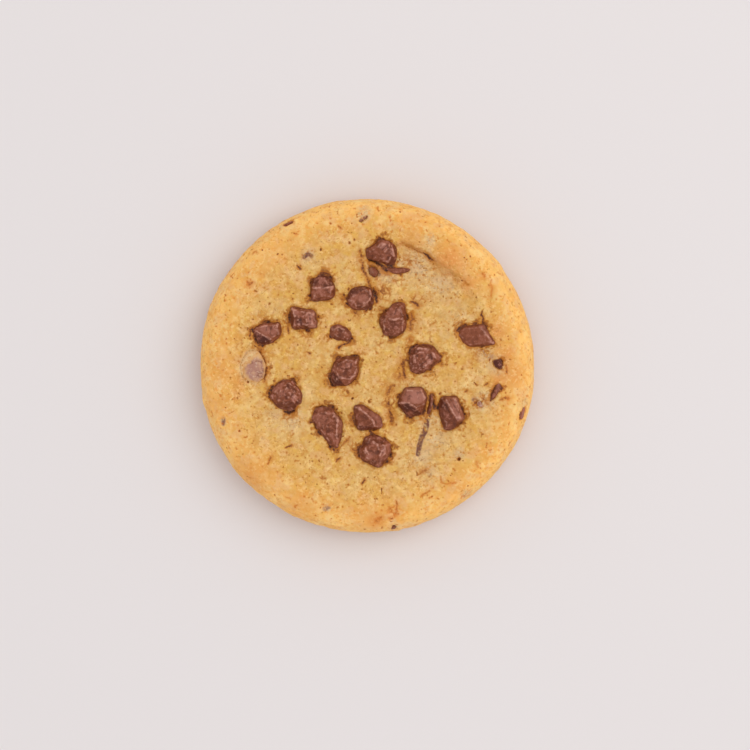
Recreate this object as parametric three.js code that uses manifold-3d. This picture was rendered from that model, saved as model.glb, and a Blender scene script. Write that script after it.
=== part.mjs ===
// A thick, soft-baked cookie studded with broken chocolate, lying flat on its base.
// Millimetres and degrees. +Z is up, and the origin is the middle of the flat base.
import * as THREE from 'three';
import { ConvexGeometry } from 'three/addons/geometries/ConvexGeometry.js';
import { mergeVertices } from 'three/addons/utils/BufferGeometryUtils.js';
import Module from 'manifold-3d';

const wasm = await Module();
wasm.setup();

// ---- Driving dimensions -------------------------------------------------------------

const RADIUS = 42.4; // of the round cookie, at its widest
const WAIST_HEIGHT = 6.0; // where the side is widest
const BASE_SHARE = 0.915; // radius of the flat base, as a share of RADIUS
const PLATEAU_HEIGHT = 13.9; // of the slightly sunken middle
const RIM_RISE = 0.7; // of the rim's crest over the middle
const RIM_FOOT = 0.62; // share of RADIUS where the rim starts to rise
const RIM_CREST = 0.84; // share of RADIUS where it is highest
const SHOULDER_POWER = 2.3; // 2 rounds the shoulder like a circle, more squares it
const UNDERCUT_POWER = 2.2; // the same for the turn from side to base
const SOCKET_GAP = 0.3; // between a chocolate piece and the dough round it

// Two stretches of the rim stand higher: [azimuth, half width in degrees, rise].
const RIDGES = [
  [42, 62, 1.25],
  [-28, 50, 0.45],
];
// The outline swells a little here and there: [azimuth, half width in degrees, swell].
const BULGES = [
  [152, 34, 0.3],
  [196, 16, 0.2],
  [220, 12, 0.35],
  [340, 26, 0.3],
];
// Soft mounds and hollows in the top: [x, y, reach, rise].
const SWELLS = [
  [-28.5, 0.5, 7, 0.55],
  [-17, -8, 9, -0.25],
  [2, 12, 12, 0.25],
  [8, -30, 10, -0.3],
  [14, 26, 7, -0.45],
  [-24, 22, 9, 0.2],
  [-12, -30, 8, 0.25],
];

const SECTORS = 64; // steps round the dough
const TOP_STEPS = 12; // rings from the middle to the crest
const SHOULDER_STEPS = 7; // rings from the crest to the waist
const UNDERCUT_STEPS = 4; // rings from the waist to the base

const CHUNK_DEPTH = 3.6; // how deep a piece sits in the dough
const SLIVER_DEPTH = 1.8; // the same for a thin or nearly covered piece
const SLIVER_CROWN = 0.6; // size of a sliver's top, as a share of its outline
const CORNER_CUT = 0.9; // how far from a corner of an outline its rounding starts
const CORNER_STEPS = 2; // straight steps round a corner

// ---- Chocolate pieces ---------------------------------------------------------------
//
// Every piece is a broken bit of a bar, and the hull of its corners. Its outline is where
// it is widest, just above the dough, with the corners [x, y] anticlockwise. The peaks are
// where its broken faces meet on top, as [x, y, height above the dough], and a sliver has
// a flat top at its height instead. Both are measured from the piece's place, at [x, y]
// from the cookie's middle. A veiled piece has a thin film of dough over it.
const PIECES = [
  {
    name: 'chunk_01',
    at: [3.8, 28.7],
    outline: [[4.0, 0.6], [2.6, 2.8], [0, 3.6], [-4.4, 0.6], [-4.0, -1.6], [2.2, -3.5], [3.8, -2.2]],
    peaks: [[2.6, -0.6, 2.2], [1.9, 2, 2.4], [0, 2.4, 2.3], [-2.8, 0.3, 1.7], [1.4, -2.2, 1.9]],
  },
  {
    name: 'chunk_02',
    at: [-11.1, 19.3],
    outline: [[3.1, 1], [1.4, 3.6], [-1.4, 3.9], [-3.3, 1.4], [-3.1, -3.1], [2.0, -2.8], [3.3, -1.4]],
    peaks: [[2.3, 0.5, 2], [-2.4, 0.5, 2], [-2.2, -1.9, 1.3], [1.7, -1.8, 1.3], [-0.2, 2.8, 1.1]],
  },
  {
    name: 'chunk_03',
    at: [-1.4, 17.0],
    outline: [[2.9, 2.1], [1.1, 3.3], [-2.6, 2.9], [-4.0, -0.6], [-2.4, -2.9], [1.4, -3.1], [3.4, -1]],
    peaks: [[2.2, 1.2, 1.9], [1.1, 2.3, 1.8], [-1.5, 1.3, 1.7], [-2.8, -0.7, 1.4], [-1.1, -2, 1.5],
      [1.2, -1.3, 1.8]],
  },
  {
    name: 'chunk_04',
    at: [-16.2, 12.1],
    outline: [[3.2, 2.0], [-0.6, 2.5], [-3.3, 3.2], [-3.0, -2.6], [0.2, -3.1], [3.9, -2.6]],
    peaks: [[2.3, 1.1, 2.1], [0.3, 1.5, 2], [-2.4, 2, 1.9], [-2.2, -1.7, 1.8], [2.4, -1.7, 2]],
  },
  {
    name: 'chunk_05',
    at: [-25.4, 8.3],
    outline: [[3.9, -0.6], [3.7, 3.0], [-1.6, 2.4], [-3.7, 0.8], [-1.8, -3.1], [1.6, -2.7]],
    peaks: [[3, -0.2, 1.7], [2.8, 2.1, 1.8], [-1.2, 1.6, 1.8], [-2.6, 0.6, 1.5], [-0.9, -0.6, 1.8],
      [1, -1.6, 1.7]],
  },
  {
    name: 'chunk_06',
    at: [-6.5, 8.3],
    outline: [[2.9, 0.2], [1.2, 1.6], [-1, 2.5], [-3.2, 1.2], [-2.9, -0.8], [-1.2, -1.9], [2.3, -2.0]],
    peaks: [[1.5, -0.2, 1.2], [0.2, 1.1, 1.2], [-1.7, 0.7, 1.1], [-1.4, -0.6, 1.1], [0.9, -1.1, 1.1]],
  },
  {
    name: 'chunk_07',
    at: [7.0, 11.5],
    outline: [[3.1, -1.8], [2.7, 4.7], [0.2, 4.8], [-4, 0.9], [-4.1, -0.8], [-2.8, -4.0], [1.2, -4.1]],
    peaks: [[2, 0.2, 2.5], [1.4, 3.3, 1.9], [-2.9, 0.2, 2.3], [-2.4, -2.6, 1.2], [1.3, -2.4, 1.4]],
  },
  {
    name: 'chunk_08',
    at: [27.9, 7.6],
    outline: [[4.9, -2.3], [1.7, 3.1], [-3.8, 2.5], [-5.4, 0.4], [-4.5, -1.4], [-2.2, -3.0]],
    peaks: [[3.4, -1.5, 1.1], [1, 2.2, 1.1], [-3.3, 1.8, 1], [-4.5, 0.2, 0.9], [-1.8, -2.2, 1]],
  },
  {
    name: 'chunk_09',
    at: [14.4, 1.8],
    outline: [[4.6, 0.2], [2.4, 3.5], [-1.6, 4.0], [-3.4, 2.4], [-4.1, -1.2], [-3.5, -3.5],
      [-1.2, -4.3], [3.7, -1.1]],
    peaks: [[3.1, 1, 1.9], [1.2, 2.4, 2.2], [-1.4, 2.7, 1.9], [-2.6, 1, 1.8], [-2.7, -2.2, 1.5],
      [-1, -2.8, 1.5], [2.4, -0.2, 2]],
  },
  {
    name: 'chunk_10',
    at: [-5.4, -1.4],
    outline: [[3.4, -0.8], [3.5, 3.6], [0.4, 4.1], [-2.8, 3.1], [-4.0, -0.8], [-3.2, -3.8], [1.0, -3.7]],
    peaks: [[2.7, -0.2, 2.1], [2.6, 2.5, 2.2], [0.2, 2.9, 2.2], [-1.9, 1.8, 1.9], [-2.1, -1.9, 1.7],
      [0.9, -2.2, 1.9]],
  },
  {
    name: 'chunk_11',
    at: [-20.2, -7.6],
    outline: [[3.6, -2], [4.0, 0.6], [1.6, 4.2], [-1, 4.2], [-3.5, 2.4], [-4.6, -0.3], [-2.4, -3.1],
      [1.2, -3.9]],
    peaks: [[1.8, -1.1, 2.5], [2.1, 1, 2.4], [0.4, 2.4, 2.2], [-1.9, 1.1, 2.4], [-2.2, -0.8, 2.1],
      [-0.2, -2, 2.2], [0, 0.2, 2.8]],
  },
  {
    name: 'chunk_12',
    at: [-9.4, -15.7],
    outline: [[3.6, 1.4], [0.6, 5.4], [-3.8, 5.3], [-5, 2.2], [0.6, -5.1], [2.3, -5.4]],
    peaks: [[2, 2.1, 2.5], [1, 3.7, 2.1], [-2.6, 4.1, 1.4], [-3.7, 2.3, 1.2], [1.5, -4, 1.5],
      [1.8, -1.6, 2.3]],
  },
  {
    name: 'chunk_13',
    at: [0, -12.9],
    outline: [[4.2, -2.9], [3.6, 0.2], [-1.6, 3.5], [-3.6, 2.8], [-2.6, -3.6]],
    peaks: [[2.4, -2.3, 1.5], [1.3, -0.6, 1.9], [-1.9, 2.2, 1.7], [-2.1, -2.2, 1.2]],
  },
  {
    name: 'chunk_14',
    at: [1.9, -21.6],
    outline: [[4.0, -1.0], [4.3, 2.2], [0.4, 4.3], [-2.2, 4.2], [-4.1, 0.4], [-3.6, -2.4], [1.2, -4.3]],
    peaks: [[2.3, -0.6, 2.1], [2.6, 1.4, 2], [0.7, 1.9, 2.2], [-1.4, 2.6, 1.8], [-2.6, 0.4, 1.8],
      [-2, -1.6, 1.7], [0.6, -2.6, 1.7]],
  },
  {
    name: 'chunk_15',
    at: [11.7, -9.1],
    outline: [[3.8, 1.2], [2.4, 3.9], [-2.2, 3.9], [-4.4, -0.4], [-1.4, -4.0], [2.2, -3.3]],
    peaks: [[3, 1.1, 2.8], [2, 2.9, 2.8], [-1.5, 3, 2.6], [-3.1, -0.1, 2.2], [0.7, -1.5, 2.9]],
  },
  {
    name: 'chunk_16',
    at: [21.4, -11.7],
    outline: [[3.5, -1.6], [1.3, 4.4], [-3, 3.9], [-3.5, 0.2], [-2.1, -4.6], [0, -4.8]],
    peaks: [[2.1, -1.5, 2.3], [0.8, 3.5, 2.2], [-1.3, 3.2, 2.2], [0.1, 0, 2.5], [-1.5, -2.9, 1.4],
      [-2.4, 1.6, 1.7]],
  },
  {
    name: 'chunk_17',
    at: [-28.5, -0.6],
    outline: [[2.7, -2.4], [3.1, 1.2], [1.0, 4.6], [-1.6, 4.4], [-3.6, 0.8], [-2.8, -2.6], [0.2, -4.2]],
    peaks: [[1.7, -1.2, 0.9], [1.6, 1.2, 0.9], [-0.4, 2.6, 0.8], [-1.9, 0.4, 0.8], [-0.2, -2.5, 0.8]],
    veiled: true,
  },
  {
    name: 'sliver_01',
    at: [8.6, 23.9],
    outline: [[2.6, 0.5], [1, 1.0], [-4.3, 0.8], [-1.8, -0.9], [1.4, -0.5]],
    height: 0.5,
  },
  {
    name: 'sliver_02',
    at: [1.5, 23.9],
    outline: [[1.5, -0.6], [0.7, 1], [-1.0, 1.1], [-1, -0.6], [0.3, -1.7]],
    height: 0.5,
    veiled: true,
  },
  {
    name: 'sliver_03',
    at: [16.4, -9.6],
    outline: [[0.4, 1.4], [-0.1, 2.8], [-0.6, 1.8], [-1.0, -0.8], [-1.5, -2.6], [-0.4, -2.8]],
    height: 0.6,
  },
  {
    name: 'sliver_04',
    at: [33.1, 0.4],
    outline: [[1.2, -0.4], [0.7, 1.4], [-1.7, 1], [-1, -0.4], [0.5, -1.5]],
    height: 0.2,
  },
  {
    name: 'sliver_05',
    at: [32.8, -6.5],
    outline: [[1.4, 1.3], [0.2, 2.4], [-1.5, -0.7], [-1.9, -2.5], [-0.6, -1.7]],
    height: 0.4,
  },
  {
    name: 'sliver_06',
    at: [28.3, -9.6],
    outline: [[1.3, -0.8], [0, 1.2], [-0.8, 0.2], [0, -1.1]],
    height: 0.3,
    veiled: true,
  },
  {
    name: 'sliver_07',
    at: [39.5, -11.8],
    outline: [[0.7, 0.9], [0.4, 1.9], [-0.7, -0.2], [-0.8, -1.9], [-0.1, -1.6]],
    height: 0.2,
  },
  {
    name: 'sliver_08',
    at: [-0.6, 37.6],
    outline: [[1, 0.3], [-0.4, 0.5], [-1.6, -0.9], [-1.3, -1.5], [-0.1, -0.8]],
    height: 0.3,
    veiled: true,
  },
  {
    name: 'sliver_09',
    at: [6.8, -40.9],
    outline: [[0.9, -0.9], [0.1, 0.9], [-0.8, -0.2], [-0.6, -1.2]],
    height: 0.2,
    veiled: true,
  },
  {
    name: 'sliver_10',
    at: [-19.6, 36.2],
    outline: [[1.2, 0.2], [0.7, 0.8], [-1.6, -0.4], [-1.4, -0.9]],
    height: 0.2,
  },
];

// Rings of a piece below its peaks: [height, share of the outline]. A height below 0 is a
// share of the depth, and one above 0 a share of the piece's own height.
const PIECE_RINGS = [
  [-1, 0.75],
  [0.12, 1],
];

// ---- Helpers ------------------------------------------------------------------------

const radians = THREE.MathUtils.degToRad;
const { smoothstep, lerp } = THREE.MathUtils;

// A bell that is 1 in the middle and 0 from the given reach outwards.
function bell(distance, reach) {
  return smoothstep(reach - Math.abs(distance), 0, reach);
}

// A bell round the edge: how much of a feature at one azimuth is felt at another.
function bellRound(azimuth, middle, halfWidth) {
  const apart = THREE.MathUtils.euclideanModulo(azimuth - middle + 180, 360) - 180;
  return bell(apart, halfWidth);
}

// The next item of a list that closes on itself.
function following(list, index) {
  return list[(index + 1) % list.length];
}

// A closed solid from rings of points, all with the same count, closed by flat caps.
function ringSolid(rings) {
  const sides = rings[0].length;
  const vertices = [];
  const faces = [];
  for (const ring of rings) {
    for (const point of ring) vertices.push(point.x, point.y, point.z);
  }
  for (let level = 0; level + 1 < rings.length; level += 1) {
    for (let side = 0; side < sides; side += 1) {
      const next = (side + 1) % sides;
      const here = level * sides;
      const above = here + sides;
      faces.push(here + side, here + next, above + next);
      faces.push(here + side, above + next, above + side);
    }
  }
  const caps = [[0, -1], [rings.length - 1, 1]];
  for (const [level, facing] of caps) {
    const centre = vertices.length / 3;
    const middle = new THREE.Vector3();
    for (const point of rings[level]) middle.addScaledVector(point, 1 / sides);
    vertices.push(middle.x, middle.y, middle.z);
    for (let side = 0; side < sides; side += 1) {
      const a = level * sides + side;
      const b = level * sides + (side + 1) % sides;
      if (facing > 0) faces.push(centre, a, b);
      else faces.push(centre, b, a);
    }
  }
  return { vertices, faces };
}

// The closed solid that is stretched tight round a set of points.
function hullSolid(points) {
  const geometry = new ConvexGeometry(points);
  geometry.deleteAttribute('normal');
  const merged = mergeVertices(geometry);
  return { vertices: merged.attributes.position.array, faces: merged.index.array };
}

function toManifold({ vertices, faces }) {
  const mesh = new wasm.Mesh({
    numProp: 3,
    vertProperties: new Float32Array(vertices),
    triVerts: new Uint32Array(faces),
  });
  return new wasm.Manifold(mesh);
}

function toGeometry(solid) {
  const mesh = solid.getMesh();
  const geometry = new THREE.BufferGeometry();
  geometry.setAttribute('position', new THREE.BufferAttribute(mesh.vertProperties, 3));
  geometry.setIndex(new THREE.BufferAttribute(mesh.triVerts, 1));
  geometry.computeVertexNormals();
  return geometry;
}

// ---- Dough --------------------------------------------------------------------------

// The cookie's own radius towards an azimuth.
function edgeRadius(azimuth) {
  let radius = RADIUS;
  for (const [middle, halfWidth, swell] of BULGES) {
    radius += swell * bellRound(azimuth, middle, halfWidth);
  }
  return radius;
}

function crestHeight(azimuth) {
  let height = PLATEAU_HEIGHT + RIM_RISE;
  for (const [middle, halfWidth, rise] of RIDGES) {
    height += rise * bellRound(azimuth, middle, halfWidth);
  }
  return height;
}

// Height of the top at a share of the radius: plateau, rise to the crest, then shoulder.
function bareHeight(share, azimuth) {
  const crest = crestHeight(azimuth);
  if (share <= RIM_CREST) {
    return lerp(PLATEAU_HEIGHT, crest, smoothstep(share, RIM_FOOT, RIM_CREST));
  }
  const out = Math.min((share - RIM_CREST) / (1 - RIM_CREST), 1);
  const fall = (1 - out ** SHOULDER_POWER) ** (1 / SHOULDER_POWER);
  return lerp(WAIST_HEIGHT, crest, fall);
}

function topHeight(x, y) {
  const azimuth = THREE.MathUtils.radToDeg(Math.atan2(y, x));
  const share = Math.hypot(x, y) / edgeRadius(azimuth);
  let height = bareHeight(share, azimuth);
  const fade = 1 - smoothstep(share, RIM_CREST, 1);
  for (const [centreX, centreY, reach, rise] of SWELLS) {
    height += fade * rise * bell(Math.hypot(x - centreX, y - centreY), reach);
  }
  return height;
}

// One ring of the dough at a share of the radius. Without a height it follows the top.
function doughRing(share, height) {
  const ring = [];
  for (let sector = 0; sector < SECTORS; sector += 1) {
    const azimuth = (360 * sector) / SECTORS;
    const reach = share * edgeRadius(azimuth);
    const x = reach * Math.cos(radians(azimuth));
    const y = reach * Math.sin(radians(azimuth));
    ring.push(new THREE.Vector3(x, y, height ?? topHeight(x, y)));
  }
  return ring;
}

function doughSolid() {
  const rings = [];
  for (let step = 0; step < UNDERCUT_STEPS; step += 1) {
    const angle = (Math.PI / 2) * (step / UNDERCUT_STEPS);
    const out = Math.sin(angle) ** (2 / UNDERCUT_POWER);
    const down = Math.cos(angle) ** (2 / UNDERCUT_POWER);
    rings.push(doughRing(lerp(BASE_SHARE, 1, out), WAIST_HEIGHT * (1 - down)));
  }
  for (let step = 0; step < SHOULDER_STEPS; step += 1) {
    const angle = (Math.PI / 2) * (step / SHOULDER_STEPS);
    const out = Math.cos(angle) ** (2 / SHOULDER_POWER);
    rings.push(doughRing(lerp(RIM_CREST, 1, out)));
  }
  for (let step = TOP_STEPS; step > 0; step -= 1) {
    rings.push(doughRing((RIM_CREST * step) / TOP_STEPS));
  }
  return toManifold(ringSolid(rings));
}

// ---- Chocolate ----------------------------------------------------------------------

// Where a piece sits: its place on the top, standing square to the surface there.
function seat([x, y]) {
  const reach = 1.5; // the slope is felt over this distance
  const slopeX = (topHeight(x + reach, y) - topHeight(x - reach, y)) / (2 * reach);
  const slopeY = (topHeight(x, y + reach) - topHeight(x, y - reach)) / (2 * reach);
  const normal = new THREE.Vector3(-slopeX, -slopeY, 1).normalize();
  const lie = new THREE.Quaternion().setFromUnitVectors(new THREE.Vector3(0, 0, 1), normal);
  return { position: new THREE.Vector3(x, y, topHeight(x, y)), quaternion: lie };
}

// An outline with its sides moved out by the given amount.
function widened(outline, grow) {
  const outward = outline.map((corner, index) => {
    const side = following(outline, index).clone().sub(corner).normalize();
    return new THREE.Vector2(side.y, -side.x);
  });
  return outline.map((corner, index) => {
    const before = outward.at(index - 1);
    const after = outward[index];
    const reach = grow / (1 + before.dot(after));
    return corner.clone().addScaledVector(before, reach).addScaledVector(after, reach);
  });
}

// An outline with its corners rounded off.
function rounded(outline) {
  return outline.flatMap((corner, index) => {
    const [from, to] = [outline.at(index - 1), following(outline, index)].map((other) => {
      const share = Math.min(CORNER_CUT / corner.distanceTo(other), 0.35);
      return corner.clone().lerp(other, share);
    });
    return new THREE.QuadraticBezierCurve(from, corner, to).getPoints(CORNER_STEPS);
  });
}

// The top of a piece, moved up and out by the given amount.
function crownPoints(piece, outline, grow) {
  if (!piece.peaks) {
    return outline.map(({ x, y }) => (
      new THREE.Vector3(x * SLIVER_CROWN, y * SLIVER_CROWN, piece.height + grow)
    ));
  }
  return piece.peaks.map(([x, y, height]) => {
    const spread = 1 + grow / Math.hypot(x, y);
    return new THREE.Vector3(x * spread, y * spread, height + grow);
  });
}

function pieceSolid(piece, grow = 0) {
  const corners = piece.outline.map(([x, y]) => new THREE.Vector2(x, y));
  const outline = rounded(widened(corners, grow));
  const height = piece.height ?? Math.max(...piece.peaks.map((peak) => peak[2]));
  const depth = piece.peaks ? CHUNK_DEPTH : SLIVER_DEPTH;
  const points = crownPoints(piece, outline, grow);
  for (const [level, share] of PIECE_RINGS) {
    const z = level < 0 ? level * depth - grow : level * height + grow;
    for (const { x, y } of outline) points.push(new THREE.Vector3(x * share, y * share, z));
  }
  const { position, quaternion } = seat(piece.at);
  for (const point of points) point.applyQuaternion(quaternion).add(position);
  return toManifold(hullSolid(points));
}

// ---- The whole cookie ---------------------------------------------------------------

const FINISHES = {
  dough: { color: 0xdba866, roughness: 0.85, metalness: 0 },
  chocolate: { color: 0x7d4632, roughness: 0.45, metalness: 0 },
  veiled: { color: 0xa07c70, roughness: 0.75, metalness: 0 },
};

const group = new THREE.Group();

function addMesh(name, solid, finish) {
  const mesh = new THREE.Mesh(toGeometry(solid), new THREE.MeshStandardMaterial(FINISHES[finish]));
  mesh.name = name;
  group.add(mesh);
}

let dough = doughSolid();
for (const piece of PIECES) dough = dough.subtract(pieceSolid(piece, SOCKET_GAP));

addMesh('dough', dough, 'dough');
for (const piece of PIECES) {
  addMesh(piece.name, pieceSolid(piece), piece.veiled ? 'veiled' : 'chocolate');
}

export default group;
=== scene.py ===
"""The looks of a thick, soft-baked cookie studded with broken chocolate.

Sizes here are in millimetres and angles in degrees, and only what goes to Blender is in
metres. A place on the top is [x, y] from the cookie's middle, and azimuths run
anticlockwise from +X. The sizes belong to a cookie of DESIGN_RADIUS, and UNIT carries
them over to the CAD solid's own radius. The materials' colours are screen colours, 0 to 255.
"""

import itertools
import math

import bpy
import numpy as np
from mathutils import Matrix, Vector, bvhtree, geometry, kdtree


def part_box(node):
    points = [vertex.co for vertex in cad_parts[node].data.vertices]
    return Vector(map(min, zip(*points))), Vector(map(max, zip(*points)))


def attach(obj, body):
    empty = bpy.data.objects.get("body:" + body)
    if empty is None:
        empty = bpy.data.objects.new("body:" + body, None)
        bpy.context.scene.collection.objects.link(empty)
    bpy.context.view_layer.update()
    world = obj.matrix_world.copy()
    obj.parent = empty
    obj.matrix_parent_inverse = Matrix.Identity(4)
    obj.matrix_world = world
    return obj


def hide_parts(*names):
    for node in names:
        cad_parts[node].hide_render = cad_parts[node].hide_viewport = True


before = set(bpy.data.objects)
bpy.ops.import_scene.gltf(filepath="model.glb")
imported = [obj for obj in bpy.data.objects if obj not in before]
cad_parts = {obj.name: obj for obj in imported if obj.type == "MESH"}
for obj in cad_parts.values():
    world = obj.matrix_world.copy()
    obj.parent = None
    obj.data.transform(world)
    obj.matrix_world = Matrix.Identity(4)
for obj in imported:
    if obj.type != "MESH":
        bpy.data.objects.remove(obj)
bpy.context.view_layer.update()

MM = 0.001  # metres in a millimetre


def box_mm(node):
    """Lowest and highest corner of a CAD node, in millimetres."""
    low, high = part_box(node)
    return np.array(low) / MM, np.array(high) / MM


# ---- Sizes of the dough -----------------------------------------------------------------

dough_low, dough_high = box_mm("dough")
RADIUS = (dough_high[1] - dough_low[1]) / 2
HEIGHT = dough_high[2]
DESIGN_RADIUS = 42.4
UNIT = RADIUS / DESIGN_RADIUS

WAIST = 6.0 * UNIT  # height where the side is widest
BASE_SHARE = 0.915  # radius of the flat base, as a share of RADIUS
PLATEAU = 13.9 * UNIT  # height of the slightly sunken middle
RIM_RISE = 0.7 * UNIT  # of the rim's crest over the middle
RIM_FOOT = 0.62  # share of the radius where the rim starts to rise
RIM_CREST = 0.84  # and where it is highest
SHOULDER_POWER = 2.3  # 2 rounds the shoulder like a circle, more squares it
UNDERCUT_POWER = 2.2  # the same for the turn from side to base

# Stretches of the rim that stand higher: [azimuth, half width, rise].
RIDGES = [(42, 62, 1.25), (-28, 50, 0.45)]
# Swells of the outline: [azimuth, half width, swell].
BULGES = [(152, 34, 0.3), (196, 16, 0.2), (220, 12, 0.35), (340, 26, 0.3)]
# Soft mounds and hollows: [x, y, reach, rise].
SWELLS = [
    (-28.5, 0.5, 7, 0.55),
    (-17, -8, 9, -0.25),
    (2, 12, 12, 0.25),
    (8, -30, 10, -0.3),
    (14, 26, 7, -0.45),
    (-24, 22, 9, 0.2),
    (-12, -30, 8, 0.25),
]

TOP_SPACING = 0.26  # between the points of the dough's top
SHOULDER_SPACING = 0.38  # of its rounded edge
SIDE_SPACING = 0.48  # of the undercut side
BASE_SPACING = 1.1  # and of its base
SOCKET_DEPTH = 3.7  # how far the dough goes down under a chunk
SLIVER_COVER = 0.4  # how far the dough lies below a sliver's top
VEIL = 0.2  # thickness of the film of dough over a veiled piece

# ---- Noise ------------------------------------------------------------------------------

DIRECTIONS = np.random.default_rng(7).normal(size=(256, 3))
DIRECTIONS /= np.linalg.norm(DIRECTIONS, axis=1)[:, None]
LATTICE_PRIMES = np.array([374761393, 668265263, 1274126177])
SEED_PRIME = 974634777
SCRAMBLE_FACTOR = 1103515245
NOISE_GAIN = 1.7  # brings the peaks of the noise to about 1
CLEFT_SHARE = 0.55  # width of the clefts between crumbs, as a share of a crumb


def smooth(value, low, high):
    """0 up to low, 1 from high on, and an even curve between them."""
    share = np.clip((value - low) / (high - low), 0, 1)
    return share * share * (3 - 2 * share)


def mixed(low, high, share):
    """Goes from low to high as share goes from 0 to 1."""
    return low + (high - low) * share


def bell(distance, reach):
    """1 in the middle and 0 from the given reach outwards."""
    return smooth(reach - np.abs(distance), 0, reach)


def scramble(cells, seed):
    """A random whole number from 0 to 255 for each lattice cell."""
    number = cells @ LATTICE_PRIMES + seed * SEED_PRIME
    number = (number ^ (number >> 13)) * SCRAMBLE_FACTOR
    return (number ^ (number >> 16)) & 255


def noise(points, size, seed):
    """Smooth noise, about -1 to 1, whose lumps are about as wide as size."""
    place = points / size
    cell = np.floor(place).astype(np.int64)
    inside = place - cell
    ease = inside**3 * (inside * (inside * 6 - 15) + 10)
    total = np.zeros(len(points))
    for corner in itertools.product((0, 1), repeat=3):
        slope = DIRECTIONS[scramble(cell + corner, seed)]
        weight = np.prod(np.where(corner, ease, 1 - ease), axis=1)
        total += weight * np.sum(slope * (inside - corner), axis=1)
    return total * NOISE_GAIN


def rough(points, size, seed):
    """Noise with finer noise in it, half as wide and half as strong."""
    return noise(points, size, seed) + 0.5 * noise(points, size / 2, seed + 1)


def crumbs(points, size, seed):
    """Packed round crumbs: about 1 in the middle of each, and 0 in the clefts."""
    place = points / size
    cell = np.floor(place).astype(np.int64)
    nearest = np.full(len(points), 9.0)
    second = nearest.copy()
    for corner in itertools.product((-1, 0, 1), repeat=3):
        other = cell + corner
        offset = [scramble(other, seed + 17 * axis) / 256 for axis in range(3)]
        gap = np.linalg.norm(other + np.stack(offset, axis=1) - place, axis=1)
        second = np.minimum(second, np.maximum(gap, nearest))
        nearest = np.minimum(nearest, gap)
    return smooth(second - nearest, 0, CLEFT_SHARE)


# ---- Directions and distances -----------------------------------------------------------


def facing(azimuth, elevation=0):
    """The unit vector towards an azimuth and elevation."""
    turn, climb = math.radians(azimuth), math.radians(elevation)
    flat = math.cos(climb)
    return np.array([flat * math.cos(turn), flat * math.sin(turn), math.sin(climb)])


def azimuth_of(x, y):
    """The azimuth, in degrees, in which [x, y] lies."""
    return np.degrees(np.arctan2(y, x))


def from_line(places, start, end):
    """How far each place is from a line, and how far along it, 0 to 1."""
    span = end - start
    offset = places - start
    along = np.clip(offset @ span / max(span @ span, 1e-6), 0, 1)
    return np.linalg.norm(offset - along[:, None] * span, axis=1), along


def from_spot(places, x, y):
    """How far each [x, y] is from a spot."""
    return np.hypot(places[:, 0] - UNIT * x, places[:, 1] - UNIT * y)


# ---- Mesh helpers -----------------------------------------------------------------------


def make_object(name, points, faces):
    """A smooth-shaded mesh object. Points are in millimetres, and faces all have one size."""
    mesh = bpy.data.meshes.new(name)
    sides = faces.shape[1]
    mesh.vertices.add(len(points))
    mesh.vertices.foreach_set("co", (points * MM).astype(np.float32).ravel())
    mesh.loops.add(faces.size)
    mesh.loops.foreach_set("vertex_index", faces.astype(np.int32).ravel())
    mesh.polygons.add(len(faces))
    mesh.polygons.foreach_set("loop_start", np.arange(0, faces.size, sides, dtype=np.int32))
    mesh.update(calc_edges=True)
    mesh.validate()
    mesh.shade_smooth()
    made = bpy.data.objects.new(name, mesh)
    bpy.context.scene.collection.objects.link(made)
    return made


def paint(made, **layers):
    """Keeps numbers for each point under names that the materials read."""
    for name, values in layers.items():
        layer = made.data.attributes.new(name, "FLOAT", "POINT")
        layer.data.foreach_set("value", np.asarray(values, np.float32))


def mesh_arrays(mesh):
    """A mesh's points and its faces cut into triangles."""
    points = np.empty(len(mesh.vertices) * 3, np.float32)
    mesh.vertices.foreach_get("co", points)
    mesh.calc_loop_triangles()
    faces = np.empty(len(mesh.loop_triangles) * 3, np.int32)
    mesh.loop_triangles.foreach_get("vertices", faces)
    return points.reshape(-1, 3).astype(float), faces.reshape(-1, 3)


def gather(index, values, count):
    """Adds up the rows of values that go to each index."""
    columns = [np.bincount(index, column, count) for column in values.T]
    return np.stack(columns, axis=1)


def point_normals(points, faces):
    """The direction in which the surface faces at each point."""
    corners = points[faces]
    across = np.cross(corners[:, 1] - corners[:, 0], corners[:, 2] - corners[:, 0])
    total = sum(gather(faces[:, corner], across, len(points)) for corner in range(3))
    return total / np.maximum(np.linalg.norm(total, axis=1), 1e-9)[:, None]


class Neighbours:
    """Who is next to whom on a mesh of triangles."""

    def __init__(self, faces, count):
        edges = np.concatenate([faces[:, [0, 1]], faces[:, [1, 2]], faces[:, [2, 0]]])
        edges = np.unique(np.sort(edges, axis=1), axis=0)
        self.start = np.concatenate([edges[:, 0], edges[:, 1]])
        self.end = np.concatenate([edges[:, 1], edges[:, 0]])
        self.count = count
        self.degree = np.maximum(np.bincount(self.start, minlength=count), 1)[:, None]

    def average(self, values):
        """The mean of each point's neighbours."""
        return gather(self.start, values[self.end], self.count) / self.degree

    def smoothed(self, values, rounds):
        """The values, each drawn halfway to its neighbours' mean as often as rounds says."""
        for _ in range(rounds):
            values = mixed(values, self.average(values), 0.5)
        return values


# ---- The dough's form -------------------------------------------------------------------

PROFILE_STEPS = 400  # in each of the profile's four parts, before it is spaced evenly


def round_the_edge(azimuth, middle, half_width):
    """How much of a feature at one azimuth is felt at the others."""
    return bell((azimuth - middle + 180) % 360 - 180, half_width)


def edge_radius(azimuth):
    """Radius of the outline, with its soft bulges."""
    swell = sum(rise * round_the_edge(azimuth, at, wide) for at, wide, rise in BULGES)
    return RADIUS + UNIT * swell


def crest_height(azimuth):
    """Height of the rim's crest."""
    rise = sum(rise * round_the_edge(azimuth, at, wide) for at, wide, rise in RIDGES)
    return PLATEAU + RIM_RISE + UNIT * rise


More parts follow.
